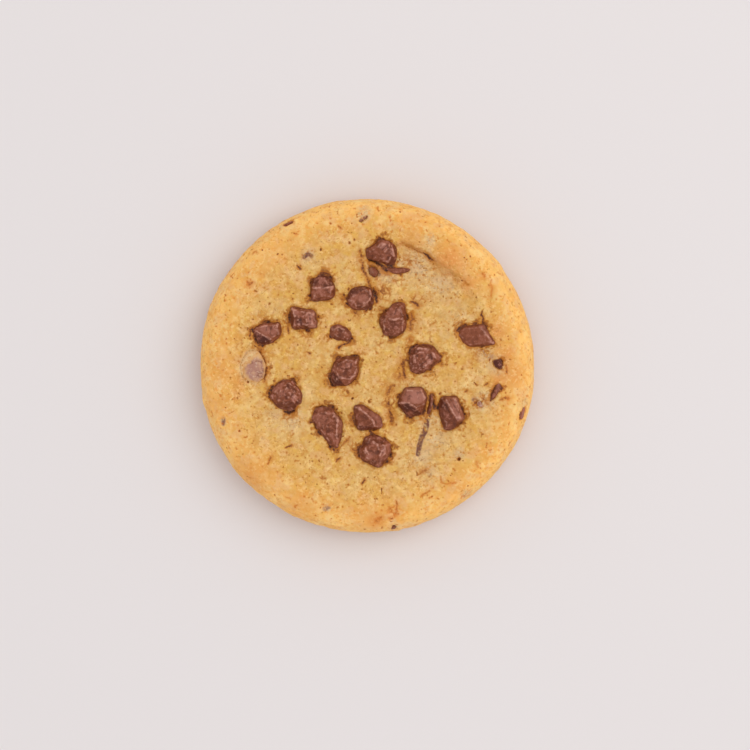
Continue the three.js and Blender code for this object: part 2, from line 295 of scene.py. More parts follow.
def swell_height(x, y):
    """Height of the soft mounds and hollows."""
    total = 0
    for at_x, at_y, reach, rise in SWELLS:
        apart = np.hypot(x - UNIT * at_x, y - UNIT * at_y)
        total = total + UNIT * rise * bell(apart, UNIT * reach)
    return total


def top_height(x, y, fall=None):
    """Height of the smooth top. fall is 1 on the crest and 0 at the waist."""
    azimuth = azimuth_of(x, y)
    share = np.hypot(x, y) / edge_radius(azimuth)
    crest = crest_height(azimuth)
    if fall is None:
        out = np.clip((share - RIM_CREST) / (1 - RIM_CREST), 0, 1)
        fall = (1 - out**SHOULDER_POWER) ** (1 / SHOULDER_POWER)
    inner = mixed(PLATEAU, crest, smooth(share, RIM_FOOT, RIM_CREST))
    outer = mixed(WAIST, crest, fall)
    height = np.where(share <= RIM_CREST, inner, outer)
    return height + (1 - smooth(share, RIM_CREST, 1)) * swell_height(x, y)


def on_top(place):
    """The point of the smooth top at [x, y]."""
    x, y = UNIT * place[0], UNIT * place[1]
    return np.array([x, y, float(top_height(x, y))])


def spots(points, places):
    """How strongly soft round spots are felt at each point: [x, y, reach, strength]."""
    felt = np.zeros(len(points))
    for x, y, reach, strength in places:
        apart = np.linalg.norm(points - on_top((x, y)), axis=1)
        felt = np.maximum(felt, strength * bell(apart, UNIT * reach))
    return felt


def ring_spacing(fall, drop):
    """How far apart the dough's points are, by how far down its profile they lie."""
    top = mixed(SHOULDER_SPACING, TOP_SPACING, smooth(fall, 0.9, 0.98))
    return np.where(drop <= 0, top, np.where(drop < 1, SIDE_SPACING, BASE_SPACING))


def profile_rings():
    """Rings from the middle of the top to the middle of the base, evenly spaced along the
    profile: arrays of share of the radius, fall of the shoulder and drop of the undercut."""
    crest = PLATEAU + RIM_RISE
    flat = np.linspace(0, 1, PROFILE_STEPS)
    turn = np.radians(np.linspace(0, 90, PROFILE_STEPS))
    shoulder_out = np.sin(turn) ** (2 / SHOULDER_POWER)
    undercut_in = np.cos(turn) ** (2 / UNDERCUT_POWER)
    share = [
        RIM_CREST * flat,
        mixed(RIM_CREST, 1, shoulder_out),
        mixed(BASE_SHARE, 1, undercut_in),
        BASE_SHARE * (1 - flat),
    ]
    fall = [1 + 0 * flat, np.cos(turn) ** (2 / SHOULDER_POWER), 0 * flat, 0 * flat]
    drop = [0 * flat, 0 * flat, np.sin(turn) ** (2 / UNDERCUT_POWER), 1 + 0 * flat]
    share, fall, drop = (np.concatenate(part) for part in (share, fall, drop))
    height = mixed(WAIST, crest, fall) - WAIST * drop
    steps = np.hypot(np.diff(share * RADIUS), np.diff(height))
    counted = np.concatenate([[0], np.cumsum(steps / ring_spacing(fall[1:], drop[1:]))])
    rings = np.linspace(0, counted[-1], round(counted[-1]) + 1)
    return [np.interp(rings, counted, values) for values in (share, fall, drop)]


def stitch(first, first_start, second, second_start):
    """Triangles between two rings of evenly spaced points: each ring's count and first point."""
    first_mid = (np.arange(first) + 0.5) / first
    second_mid = (np.arange(second) + 0.5) / second
    apex = np.searchsorted(second_mid, first_mid, side="left") % second
    foot = np.searchsorted(first_mid, second_mid, side="right") % first
    here, there = np.arange(first), np.arange(second)
    inner = [here + first_start, apex + second_start, (here + 1) % first + first_start]
    outer = [there + second_start, (there + 1) % second + second_start, foot + first_start]
    made = np.concatenate([np.stack(inner, axis=1), np.stack(outer, axis=1)])
    first, second, third = made.T
    return made[(first != second) & (first != third) & (second != third)]


def dough_grid():
    """The smooth dough: its points, its triangles and how far down the undercut each point is."""
    columns, faces = [], []
    start = last_count = 0
    for share, fall, drop in zip(*profile_rings()):
        count = max(1, round(2 * math.pi * share * RADIUS / float(ring_spacing(fall, drop))))
        azimuth = 360 * np.arange(count) / count
        columns.append(np.stack([azimuth] + [np.full(count, part) for part in (share, fall, drop)]))
        if last_count:
            faces.append(stitch(last_count, start - last_count, count, start))
        start, last_count = start + count, count
    azimuth, share, fall, drop = np.concatenate(columns, axis=1)
    reach = share * edge_radius(azimuth)
    x, y = reach * np.cos(np.radians(azimuth)), reach * np.sin(np.radians(azimuth))
    z = np.where(drop > 0, WAIST * (1 - drop), top_height(x, y, fall))
    return np.stack([x, y, z], axis=1), np.concatenate(faces), drop


# ---- What marks the dough ---------------------------------------------------------------

# Cracks and gouges: [how dark, half width, route over the top]. They are amber at 0.3 and
# nearly black at 1: the amber is the baked colour of a crack, and the dark end is partly
# painted shade deep in it.
CRACKS = [
    # Left of chunk_01, and the gap below it, darkened with painted shadow.
    (0.6, 0.6, [(-1.7, 29.2), (-1.9, 28.6), (-1.2, 27.4)]),
    (0.5, 0.5, [(-1.2, 27.4), (-1.3, 25.9)]),
    (0.72, 0.5, [(-1.2, 26.0), (-1.1, 24.4), (-0.3, 23.1)]),
    (0.6, 0.45, [(-0.2, 22.9), (0.3, 21.4), (0.7, 20.3)]),
    (0.35, 0.3, [(1.2, 19.6), (2.6, 18.6)]),
    (1.0, 0.5, [(0.3, 27.2), (2.2, 26.3), (3.4, 25.4), (4.8, 24.3)]),
    # Gaps below chunk_11, at chunk_10 and chunk_05, left of sliver_05, below chunk_07: painted
    # shadow.
    (1.0, 0.42, [(-21.0, -11.5), (-19.6, -11.7), (-18.3, -11.2)]),
    (0.95, 0.42, [(-9.0, -4.0), (-8.2, -5.0)]),
    (0.8, 0.45, [(-29.5, 9.2), (-29.6, 8.2)]),
    (0.95, 0.32, [(31.1, -8.8), (31.6, -7.0), (32.6, -5.2)]),
    (0.8, 0.3, [(5.4, 7.5), (6.4, 7.1), (7.4, 7.4)]),
    # The crescent where the rim folds over the hollow at the upper right. The wide faint lines
    # along it are painted shade under the fold.
    (0.32, 0.8, [(8.4, 31.4), (10.6, 30.3), (12.4, 29.5), (14.3, 28.8)]),
    (0.55, 0.3, [(9.6, 30.4), (11.4, 29.6), (12.4, 29.1), (14.3, 28.6)]),
    (1.0, 0.36, [(14.3, 28.5), (15.2, 27.9), (16.4, 26.6)]),
    (0.22, 1.0, [(16.3, 26.8), (17.4, 25.0), (18.8, 23.8), (21.3, 22.6), (22.6, 21.2)]),
    # Above chunk_08.
    (0.9, 0.26, [(29.1, 14.0), (28.8, 12.9), (29.3, 12.0), (29.2, 11.0)]),
    # The tail under chunk_06, and the links between chunks, darkened with painted shadow.
    (0.95, 0.36, [(-4.1, 7.2), (-4.4, 6.2), (-5.3, 5.5), (-6.3, 5.2), (-7.1, 4.6)]),
    (0.75, 0.26, [(-20.0, 10.2), (-19.8, 8.3)]),
    (0.9, 0.4, [(0.7, -16.4), (1.5, -17.3)]),
    (0.75, 0.5, [(9.1, 1.2), (9.0, -0.6), (9.4, -2.6)]),
    (0.55, 0.7, [(6.9, -4.8), (5.9, -5.8), (4.7, -7.4)]),
    (0.7, 0.6, [(5.6, -11.0), (6.0, -12.6), (6.3, -14.2)]),
    (0.9, 0.45, [(1.6, 19.6), (2.3, 18.0), (2.1, 16.2)]),
    (0.55, 0.6, [(11.0, 13.6), (11.4, 11.8), (10.8, 9.4)]),
    (1.0, 0.6, [(16.7, -9.3), (17.0, -10.8)]),
    (0.9, 0.3, [(15.4, -7.7), (16.4, -7.1), (17.2, -7.9)]),
    (0.55, 0.3, [(-6.6, -20.4), (-5.2, -18.9), (-4.5, -18.1)]),
    (0.8, 0.5, [(11.0, 16.2), (12.6, 15.2)]),
    # Right of the veiled chunk, and a faint one at its upper left.
    (0.6, 0.6, [(-27.6, 4.6), (-26.7, 3.7), (-26.1, 2.2)]),
    (0.65, 0.42, [(-26.1, 2.2), (-25.8, 0.2), (-25.7, -2.0), (-25.9, -3.6)]),
    (0.3, 0.25, [(-33.2, 4.2), (-32.8, 5.2), (-31.9, 5.9)]),
    # Slits in the open dough.
    (0.9, 0.24, [(-17.7, 25.4), (-16.9, 24.4)]),
    (0.45, 0.25, [(-28.9, 28.1), (-28.7, 28.8), (-27.6, 28.5)]),
    (0.6, 0.24, [(-7.4, 35.4), (-6.6, 34.8)]),
    (0.75, 0.3, [(-15.2, 3.5), (-14.4, 3.2)]),
    (0.85, 0.24, [(-20.7, -20.7), (-19.8, -20.3), (-19.1, -20.1)]),
    (0.75, 0.25, [(29.5, -4.9), (30.4, -4.5)]),
    (0.7, 0.3, [(24.6, -6.6), (25.1, -6.4)]),
    (0.75, 0.26, [(26.7, -10.0), (27.4, -9.2)]),
    (0.6, 0.3, [(33.4, -8.7), (34.5, -8.1), (35.4, -8.2)]),
    (0.6, 0.24, [(35.0, 0.3), (35.2, -1.6)]),
    (0.7, 0.22, [(-7.9, -24.3), (-7.5, -23.6), (-6.9, -23.3)]),
    (0.65, 0.22, [(-12.0, -28.1), (-10.8, -28.4)]),
    (0.55, 0.26, [(-25.1, -24.9), (-24.7, -23.8), (-24.2, -22.9)]),
    (0.85, 0.36, [(-1.3, -29.7), (-0.8, -28.8)]),
    (0.5, 0.35, [(13.0, -27.4), (13.8, -26.8), (14.6, -26.4)]),
    (0.45, 0.24, [(13.5, -33.1), (14.4, -32.2), (15.8, -31.6)]),
    (0.35, 0.28, [(18.5, -28.0), (18.7, -29.1), (19.9, -29.9), (22.4, -29.6)]),
    (0.5, 0.26, [(7.3, -33.9), (7.5, -35.0), (7.4, -36.2)]),
    # Caramelised blots.
    (0.42, 0.6, [(7.4, -36.8), (7.0, -37.6)]),
    (0.6, 0.42, [(6.3, -38.5), (5.6, -38.4)]),
    (0.42, 0.6, [(3.7, -38.1), (3.0, -38.7), (2.5, -39.5)]),
    (0.42, 0.55, [(28.9, 23.4), (29.6, 22.7)]),
    (0.5, 0.5, [(-30.4, 21.3), (-29.8, 20.8), (-28.7, 20.9)]),
    (0.4, 0.45, [(24.6, 21.5), (25.3, 20.4)]),
    (0.32, 0.4, [(27.5, -24.0), (27.9, -25.4)]),
    (0.6, 0.32, [(-18.4, 33.4), (-17.9, 33.4)]),
    (0.35, 0.3, [(31.3, 21.8), (31.0, 20.6), (31.6, 19.2), (31.2, 17.4)]),
]

# Single pits: [x, y, half width, how dark].
PITS = [
    (23.1, -23.5, 0.6, 1.0), (-11.7, 29.2, 0.36, 0.95), (-24.6, 15.7, 0.5, 0.5),
    (-22.8, 11.5, 0.42, 0.6), (-28.3, 18.9, 0.36, 0.6), (-32.2, -16.4, 0.42, 0.75),
    (23.9, -0.8, 0.45, 0.5), (-19.0, -0.8, 0.42, 0.45), (3.1, 39.1, 0.36, 0.6),
    (-9.2, 35.9, 0.4, 0.55), (-4.4, 31.0, 0.5, 0.6), (18.3, 35.2, 0.42, 0.45),
    (23.6, 30.3, 0.36, 0.5), (5.7, 37.4, 0.42, 0.4), (36.3, -19.4, 0.45, 0.42),
    (28.6, -25.8, 0.4, 0.55), (30.0, -20.5, 0.36, 0.45), (16.3, -33.0, 0.42, 0.5),
    (-3.8, -8.3, 0.4, 0.9), (0.6, -9.1, 0.5, 0.75), (-4.5, -25.1, 0.38, 0.65),
    (-29.8, -2.4, 0.4, 0.9), (-30.0, -4.1, 0.4, 0.75), (-5.9, 18.0, 0.42, 0.85),
    (38.7, 8.9, 0.45, 0.32), (33.6, 6.6, 0.32, 0.6), (-20.7, 13.2, 0.36, 0.6),
]

# Where a smear of melted cocoa greys the dough: [x, y, reach, strength].
SMEARS = [
    (12.7, 25.5, 7.5, 1.0), (18.5, 20.5, 7, 0.8), (22, 12, 7, 0.4), (17.5, -18.5, 6, 0.8),
    (15.4, -13.9, 5, 0.9), (14.0, -23.0, 4.5, 0.9), (-18.5, -13.5, 4.5, 0.9),
    (-0.4, 38.8, 3.2, 0.9), (32.6, 0.2, 4.2, 1.0), (30.0, -8.6, 4.2, 1.0),
    (-14.8, 27.9, 3.0, 0.9), (25.0, -32.6, 3, 0.8), (29.5, 3.6, 3.8, 0.9),
    (15.6, -26.6, 4.5, 0.7), (23.3, -22.0, 2.4, 0.9), (39.6, -9.2, 3, 0.7),
    (2.0, 24.4, 3.6, 1.0), (8.5, 26.0, 4.0, 1.0), (5.5, 22.6, 3.4, 1.0), (-10.2, -36, 1.4, 0.8),
    (-36.4, -14.0, 1.6, 0.6), (-28.0, -1.2, 5, 0.7), (15.9, 31.6, 2.6, 0.8),
    (-23.5, -12.0, 4.0, 0.6), (7.2, -40.4, 1.8, 0.9),
]

# Where the oven browned it more, and painted shade on the inner wall of the rim at the upper
# right and right: [x, y, reach, strength].
TOASTED_AND_SHADED = [
    (20.4, 26.4, 7.0, 1.6), (24.5, 20.5, 5.5, 1.2), (11.0, 31.5, 5.5, 0.6),
    (36.5, -2.0, 6.5, 1.2), (33.5, -3.5, 5.0, 1.3), (-36.0, -1.0, 8, 0.6),
    (-31.5, -5.0, 4.5, 0.8), (-29.3, -28.3, 10, 0.9), (-17.0, -36.0, 7.0, 0.7),
    (0.7, -39.4, 8, 0.7), (-24.5, 29.2, 10, 0.3), (23.0, -30.5, 5, 0.5), (13.0, 36.0, 6, 0.4),
    (-38.5, -10.0, 6.0, 0.6), (-26.9, 23.2, 2.0, 0.7), (-22.5, 18.4, 2.4, 0.6),
    (32.5, 8.5, 4.5, 1.2), (34.8, 2.5, 5.0, 1.3), (23.0, 25.0, 5.0, 1.2),
]

# Where the crumb is torn open: [x, y, reach, strength].
CRUMBLY = [
    (3.5, 18.2, 4.8, 1.0), (-3.0, 13.6, 3.0, 0.8), (-6.2, 17.2, 2.6, 0.8),
    (1.8, 24.0, 3.4, 1.0), (7.4, 21.5, 3.0, 0.7), (9.8, 1.0, 2.6, 1.0), (8.4, -2.6, 3.2, 0.9),
    (5.6, -9.4, 3.4, 1.0), (5.8, -12.8, 2.6, 0.9), (12.6, 16.6, 3.4, 0.9),
    (-9.6, -1.8, 2.8, 0.9), (-5.4, -6.2, 3.0, 0.9), (-15.8, 8.6, 3.0, 0.7),
    (-20.2, 10.0, 2.2, 0.7), (6.9, -36.4, 3.2, 0.8), (-20.5, -12.6, 3.0, 0.7),
    (33.4, 0.4, 3.2, 1.0), (29.0, -8.8, 3.4, 0.9), (17.8, -11.4, 2.2, 0.8),
    (12.8, -14.0, 2.6, 0.9), (24.8, -33.0, 3.0, 0.8), (-3.6, -20.0, 3.0, 0.7),
    (27.0, 3.4, 3.6, 0.7), (10.6, 26.6, 3.6, 0.9), (-31.0, -2.6, 2.6, 0.9),
    (10.8, 6.6, 2.4, 0.7), (3.2, 5.6, 2.4, 0.6), (-26.4, 12.0, 2.4, 0.6),
]

# Streaks and stains of cocoa in the dough: [how dark, half width, route].
STREAKS = [
    (1.0, 1.1, [(15.7, -11.6), (15.1, -14.2)]),
    (1.0, 1.05, [(15.1, -14.2), (14.7, -16.3), (13.8, -18.0)]),
    (0.8, 1.0, [(13.8, -18.0), (13.2, -20.0)]),
    (0.95, 0.9, [(13.2, -20.0), (12.9, -22.3)]),
    (0.75, 0.9, [(-15.9, 27.4), (-14.9, 28.2), (-14.0, 27.7)]),
    (0.6, 0.9, [(-36.3, -13.4), (-36.5, -14.7)]),
    (0.5, 1.0, [(-10.6, -36.1), (-9.7, -35.8)]),
    (0.75, 1.7, [(1.2, 24.9), (2.6, 23.2)]),
    (0.5, 1.1, [(3.6, 24.4), (5.0, 23.4)]),
    (0.4, 1.5, [(28.9, 4.0), (31.0, 2.4)]),
    (0.6, 1.1, [(26.9, -8.4), (28.2, -9.3)]),
]

# Short slits at random: [where, how many, and the least and most of their length, half width
# and darkness].
SLITS = [
    ("top", 600, (0.05, 0.7), (0.3, 0.55), (0.15, 0.45)),
    ("top", 130, (0.05, 0.6), (0.26, 0.4), (0.4, 0.9)),
    ("side", 130, (0.4, 2.2), (0.3, 0.55), (0.1, 0.55)),
    ("base", 420, (0.2, 2.5), (0.9, 1.3), (0.2, 0.7)),
]

CRACK_STEP = 0.8  # length of a crack's straight parts
CRACK_STRAY = 0.3  # how far they stray from the route, in half widths
CRACK_WIDTHS = (0.9, 2.2)  # least and most of the half width, beside the one given
HOLLOW_WIDTH = 2.4  # of the shallow browned hollow round a crack, beside the crack's own


class Skin:
    """The dough's surface while it is shaped."""

    def __init__(self, points, faces):
        self.points = points
        self.normals = point_normals(points, faces)
        self.rise = np.zeros(len(points))  # how far a point is pushed out
        self.carved = np.zeros(len(points))  # how deep a groove is cut there
        # The darkness in a cleft is the baked amber of the cracks and, where it is deep, painted
        # shade.
        self.cleft = np.zeros(len(points))  # how dark it is in there, 0 to 1
        self.tree = kdtree.KDTree(len(points))
        for index, point in enumerate(points):
            self.tree.insert(point, index)
        self.tree.balance()

    def near(self, start, end, reach):
        """The points within reach of a line, how far each is from it and where along it."""
        around = np.linalg.norm(end - start) / 2 + reach
        found = self.tree.find_range((start + end) / 2, around)
        index = np.array([hit[1] for hit in found], int)
        return index, *from_line(self.points[index], start, end)

    def groove(self, start, end, widths, depth, dark):
        """Cuts a round-bottomed groove along a line. widths are its half widths at the ends."""
        index, apart, along = self.near(start, end, max(widths))
        wide = mixed(widths[0], widths[1], along)
        cut = (1 - np.clip(apart / wide, 0, 1) ** 2) ** 2
        self.carved[index] = np.maximum(self.carved[index], depth * cut)
        self.cleft[index] = np.maximum(self.cleft[index], dark * cut**0.7)

    def crack(self, dark, width, route, draw):
        """Cuts a ragged crack along a route over the top."""
        stops = [on_top(place) for place in route]
        last, last_wide = stops[0], 0.7 * width
        depth = width * (0.35 + 0.6 * dark)
        for stop in stops[1:]:
            begin = last
            steps = max(1, round(np.linalg.norm(stop - begin) / CRACK_STEP))
            for step in range(1, steps + 1):
                stray = draw.normal(0, CRACK_STRAY * width, 3) * (1, 1, 0.2)
                target = mixed(begin, stop, step / steps) + stray
                wide = width * draw.uniform(*CRACK_WIDTHS)
                hollow = (HOLLOW_WIDTH * last_wide, HOLLOW_WIDTH * wide)
                self.groove(last, target, (last_wide, wide), depth, dark)
                self.groove(last, target, hollow, 0.3 * width, 0.45 * dark)
                last, last_wide = target, wide


# ---- The pieces of chocolate, as they look ----------------------------------------------
#
# All places are measured from the middle of the piece's box.
# faces    broken faces that look lighter or darker as the light falls on them, which is
#          painted light and shade: [azimuth in which the face lies, how far out it starts,
#          lightness from -1 to 1]
# tones    the same for soft patches: partly the chocolate's own lighter and darker colour,
#          partly painted highlights and painted shade: [x, y, reach, lightness]
# ridges   raised lines where two broken faces meet, painted lighter as highlights: routes
#          over the top
# dents    sunken lines, painted darker as shade: the same
# gaps     where the dough stands off, with painted shade there beside the piece: [azimuth,
#          half width in degrees]
# rough    how lumpy it is beside the others
# bare     of a veiled piece, where it shows through the dough: [x, y, reach]

DETAILS = {
    "chunk_01": {
        "faces": [(-35, 2.0, -0.5), (180, 1.6, -0.2)],
        "tones": [(0.6, 1.6, 1.5, 0.6), (1.8, -0.2, 1.2, 0.3), (0.4, -1.4, 1.4, 0.2)],
        "ridges": [[(-0.2, 1.1), (0.8, 2.1)], [(0.8, 0.0), (1.7, 0.8)], [(2.6, 1.6), (3.0, -1.0)]],
        "dents": [[(0.2, 0.5), (1.5, 1.8)]],
        "gaps": [(95, 60), (228, 40), (-55, 35)],
    },
    "chunk_02": {
        "faces": [(90, 0.35, -0.85), (-90, 0.6, -0.15)],
        "tones": [(0.0, 0.0, 3.4, 0.35)],
        "ridges": [[(-2.8, 0.0), (0.2, -0.1), (2.5, 0.3)]],
        "gaps": [(75, 60), (150, 30), (215, 20)],
    },
    "chunk_03": {
        "faces": [(122, 1.2, -0.6), (-35, 2.1, -0.55)],
        "tones": [(0.6, -0.2, 1.9, 0.4)],
        "ridges": [[(2.3, 2.0), (2.7, 0.6), (1.6, -1.5)], [(1.6, -1.5), (0.4, -2.2)]],
        "dents": [[(-1.6, 1.0), (0.4, 2.2)]],
        "gaps": [(-45, 40), (20, 35), (195, 30)],
    },
    "chunk_04": {
        "faces": [(0, 0.75, 0.5), (-135, 0.9, -0.35)],
        "tones": [(-2.4, 1.4, 1.3, 0.5), (-1.0, -1.0, 1.2, -0.5), (0.0, 0.4, 1.0, 0.2)],
        "ridges": [[(0.8, 1.2), (0.6, 0.0), (0.8, -1.0)], [(2.4, 1.0), (2.7, -0.6)]],
        "dents": [[(1.4, 0.8), (1.6, -0.6)], [(-0.9, 0.2), (-0.6, -1.5)]],
        "gaps": [(175, 45), (-72, 25), (0, 25)],
        "rough": 1.2,
    },
    "chunk_05": {
        "faces": [(-120, 1.05, -1.0)],
        "tones": [(-0.6, 1.0, 1.6, 0.5), (1.6, 0.5, 1.4, 0.4), (0.4, -0.4, 1.0, 0.2)],
        "ridges": [[(-3.0, 0.7), (-1.4, -0.3), (0.8, -1.5)], [(-2.6, 1.2), (0.0, 2.0)]],
        "dents": [[(1.0, 1.4), (0.8, 0.0)]],
        "gaps": [(175, 40), (210, 40), (95, 40), (-110, 35)],
    },
    "chunk_06": {
        "faces": [(-60, 1.3, -0.3)],
        "tones": [(0.1, -0.2, 1.3, -0.2), (-1.7, 0.9, 1.0, 0.3), (1.7, -0.6, 0.9, 0.3)],
        "ridges": [[(-2.0, 0.6), (-0.6, 1.3), (1.0, 0.7)]],
        "gaps": [(-40, 40), (200, 20)],
    },
    "chunk_07": {
        "faces": [(-90, 0.35, -0.25), (40, 2.2, -0.2)],
        "tones": [(0.1, -1.5, 1.7, -0.25), (-0.4, 0.9, 1.4, 0.3), (2.6, -1.5, 0.7, 0.5),
                  (-2.4, -1.4, 0.7, 0.4)],
        "ridges": [[(-0.9, 0.0), (0.3, -0.2), (1.5, 0.1)], [(-2.4, -0.6), (-2.2, -2.6)],
                   [(2.7, -0.5), (2.3, -2.8)]],
        "dents": [[(0.4, 1.2), (0.9, 2.6)]],
        "gaps": [(140, 40), (10, 30), (-95, 20)],
        "rough": 1.1,
    },
    "chunk_08": {
        "faces": [(48, 2.15, 0.3)],
        "tones": [(0, 0, 4, 0.1)],
        "ridges": [[(0.7, 2.2), (2.1, 1.0), (3.6, -1.2)]],
        "gaps": [(40, 45), (95, 25), (150, 35), (-60, 20)],
        "rough": 0.3,
    },
    "chunk_09": {
        "faces": [(-135, 1.4, -0.4), (110, 2.1, -0.4)],
        "tones": [(1.2, -0.6, 1.2, 0.6), (2.6, 0.8, 0.9, 0.5), (-0.4, 1.0, 1.3, 0.3),
                  (0.4, -2.0, 0.8, 0.3)],
        "ridges": [[(-2.6, 0.9), (-1.4, 1.7), (-0.3, 1.7)], [(2.2, 1.4), (2.8, 0.3)],
                   [(-0.4, -1.9), (0.6, -1.2), (1.4, -0.5)], [(0.1, 0.0), (0.7, 1.2)]],
        "dents": [[(-0.6, -1.1), (1.0, 0.2)], [(1.4, 1.8), (1.7, 0.0)], [(1.0, -1.9), (2.4, -1.0)]],
        "gaps": [(140, 45), (0, 35), (-60, 25)],
        "rough": 1.3,
    },
    "chunk_10": {
        "faces": [(-140, 2.3, -0.8), (100, 2.0, -0.2)],
        "tones": [(0.8, 1.6, 0.8, 0.6), (-0.2, 1.2, 1.0, 0.2), (0.6, -0.5, 1.2, -0.3),
                  (1.6, -1.4, 1.2, 0.3)],
        "ridges": [[(0.4, 1.9), (1.1, 1.2)],
                   [(-2.0, -0.3), (-1.4, -1.6), (1.2, -2.1), (2.4, -1.1), (3.0, 0.5)]],
        "dents": [[(-1.9, 1.2), (-0.4, 0.4), (1.4, 0.6), (1.7, 2.1)]],
        "gaps": [(215, 50), (50, 35), (-50, 25), (120, 25)],
        "rough": 1.1,
    },
    "chunk_11": {
        "faces": [(-80, 1.5, -0.5)],
        "tones": [(-0.9, 0.5, 1.4, 0.4), (2.2, -0.8, 1.1, 0.9), (0.9, 2.2, 1.2, -0.4),
                  (-2.6, 1.4, 1.0, 0.5), (0.4, -0.6, 1.0, -0.2)],
        "ridges": [[(1.9, 0.2), (2.9, -0.5)], [(2.6, -0.9), (3.0, -1.5)],
                   [(-2.8, 0.6), (-1.9, 1.9)], [(0.9, 2.9), (2.2, 1.9)]],
        "dents": [[(0.2, 2.6), (1.0, 1.6)], [(1.4, -0.4), (2.2, -1.2)]],
        "gaps": [(165, 65), (-75, 35), (60, 25)],
        "rough": 1.3,
    },
    "chunk_12": {
        "faces": [(0, 2.45, 0.4), (-145, 1.8, -0.3)],
        "tones": [(-1.6, 2.2, 2.8, 0.3), (0.6, -0.6, 1.5, 0.1)],
        "ridges": [[(1.6, 3.7), (2.7, 2.3), (2.4, 0.2), (2.3, -1.9)], [(-1.4, -0.6), (0.5, -3.2)]],
        "gaps": [(95, 50), (170, 30), (-140, 40), (-80, 20)],
        "rough": 1.2,
    },
    "chunk_13": {
        "faces": [(45, 0.15, 0.2), (-135, 0.3, -0.3), (-100, 2.3, -0.4)],
        "tones": [(1.7, 0.6, 1.3, 0.2), (-2.0, 1.2, 1.0, 0.2)],
        "ridges": [[(-2.2, 2.2), (-0.7, 1.1), (0.8, -0.3), (1.7, -2.1)]],
        "dents": [[(1.9, -0.9), (2.1, -1.9)]],
        "gaps": [(195, 45), (-75, 35)],
        "rough": 0.8,
    },
    "chunk_14": {
        "faces": [(-22, 1.55, 0.3), (100, 1.6, -0.35), (-95, 2.4, -0.4)],
        "tones": [(2.0, 0.2, 0.9, 0.5), (-0.9, -0.9, 1.4, 0.3)],
        "ridges": [[(2.5, 1.1), (1.2, -1.0)], [(0.6, 1.8), (0.9, 0.3)],
                   [(-2.4, 0.6), (-1.6, -0.8)]],
        "dents": [[(2.6, 2.7), (1.5, 1.7)]],
        "gaps": [(-15, 65), (180, 35), (55, 15)],
        "rough": 1.2,
    },
    "chunk_15": {
        "faces": [(85, -0.35, 0.45), (-125, 1.0, -0.8), (-35, 1.9, -0.1)],
        "tones": [(0.9, 1.2, 2.0, 0.3), (-0.6, -2.9, 0.9, 0.6)],
        "ridges": [[(-3.4, -0.3), (-0.9, -0.2), (1.0, -1.5), (2.9, -0.5)]],
        "gaps": [(160, 30), (-40, 45), (-100, 30)],
        "rough": 0.7,
    },
    "chunk_16": {
        "faces": [(30, 0.35, 0.4), (-150, 0.2, -0.45), (120, 2.4, -0.2)],
        "tones": [(1.6, -1.2, 0.8, 0.5), (-0.6, -2.6, 1.0, 0.2)],
        "ridges": [[(-1.3, 3.1), (-0.2, 1.2), (0.9, -0.8)], [(0.5, 3.8), (1.6, 2.0), (2.3, 0.6)],
                   [(1.0, -1.0), (2.2, -1.3)]],
        "dents": [[(-0.3, 3.5), (1.6, 0.2)], [(-1.9, 2.6), (-0.2, -0.6)]],
        "gaps": [(15, 55), (-50, 25), (158, 28)],
        "rough": 0.8,
    },
    "chunk_17": {
        "tones": [(0.6, -0.2, 3, -0.05)],
        "gaps": [(0, 40)],
        "bare": [(0.6, -1.2, 2.9), (0.9, 0.8, 2.3), (-0.4, -0.6, 2.3)],
    },
    "sliver_01": {"tones": [(0, 0, 3, -0.1)], "gaps": [(150, 40), (-60, 30)]},
    "sliver_02": {
        "tones": [(0, 0, 3, -0.75)],
        "bare": [(-0.7, 0.5, 1.4), (0.7, 0.9, 1.1), (0.3, -1.0, 1.4)],
    },
    "sliver_03": {"tones": [(0, -1, 3, -0.4), (0, 1.8, 0.8, 0.5)], "gaps": [(20, 60), (90, 40)]},
    "sliver_04": {"tones": [(0, 0, 3, -1.0)], "gaps": [(45, 60)]},
    "sliver_05": {"faces": [(20, 0.0, 0.5), (200, 0.3, -0.5)], "gaps": [(180, 70), (10, 50)]},
    "sliver_06": {"gaps": [(200, 40)], "bare": [(0.1, 0, 1.0)]},
    "sliver_07": {"tones": [(0, 0, 3, 1.0)]},
    "sliver_08": {
        "tones": [(0, 0, 3, -0.7)],
        "bare": [(-1.0, -0.8, 0.6), (-0.4, -0.3, 0.6), (0.3, 0.2, 0.6), (0.9, 0.6, 0.5)],
    },
    "sliver_09": {"tones": [(0, 0, 3, -0.6)], "bare": [(-0.1, -0.4, 0.9), (0.1, 0.4, 0.5)]},
    "sliver_10": {"tones": [(0, 0, 3, -0.2)]},
}
PIECES = sorted(DETAILS)
BURIED = -0.9  # height over the dough from which a piece's top starts to show


def is_sliver(node):
    """Whether a piece is thin, and not a full-size chunk."""
    return node.startswith("sliver")


def is_veiled(node):
    """Whether a film of dough lies over a piece."""
    return "bare" in DETAILS[node]


def node_arrays(node):
    """A CAD node's points, in millimetres, and its triangles."""
    points, faces = mesh_arrays(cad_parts[node].data)
    return points / MM, faces


def middle_of(node):
    """The [x, y] of the middle of a piece's box."""
    low, high = box_mm(node)
    return (low[:2] + high[:2]) / 2


def outline_of(node):
    """The outline of a CAD node from above, as corners in order."""
    flat = np.unique(node_arrays(node)[0][:, :2].round(3), axis=0)
    corners = flat[geometry.convex_hull_2d([Vector(corner) for corner in flat])]
    following = np.roll(corners, -1, axis=0)
    area = np.sum(corners[:, 0] * following[:, 1] - corners[:, 1] * following[:, 0])
    return corners if area > 0 else corners[::-1]


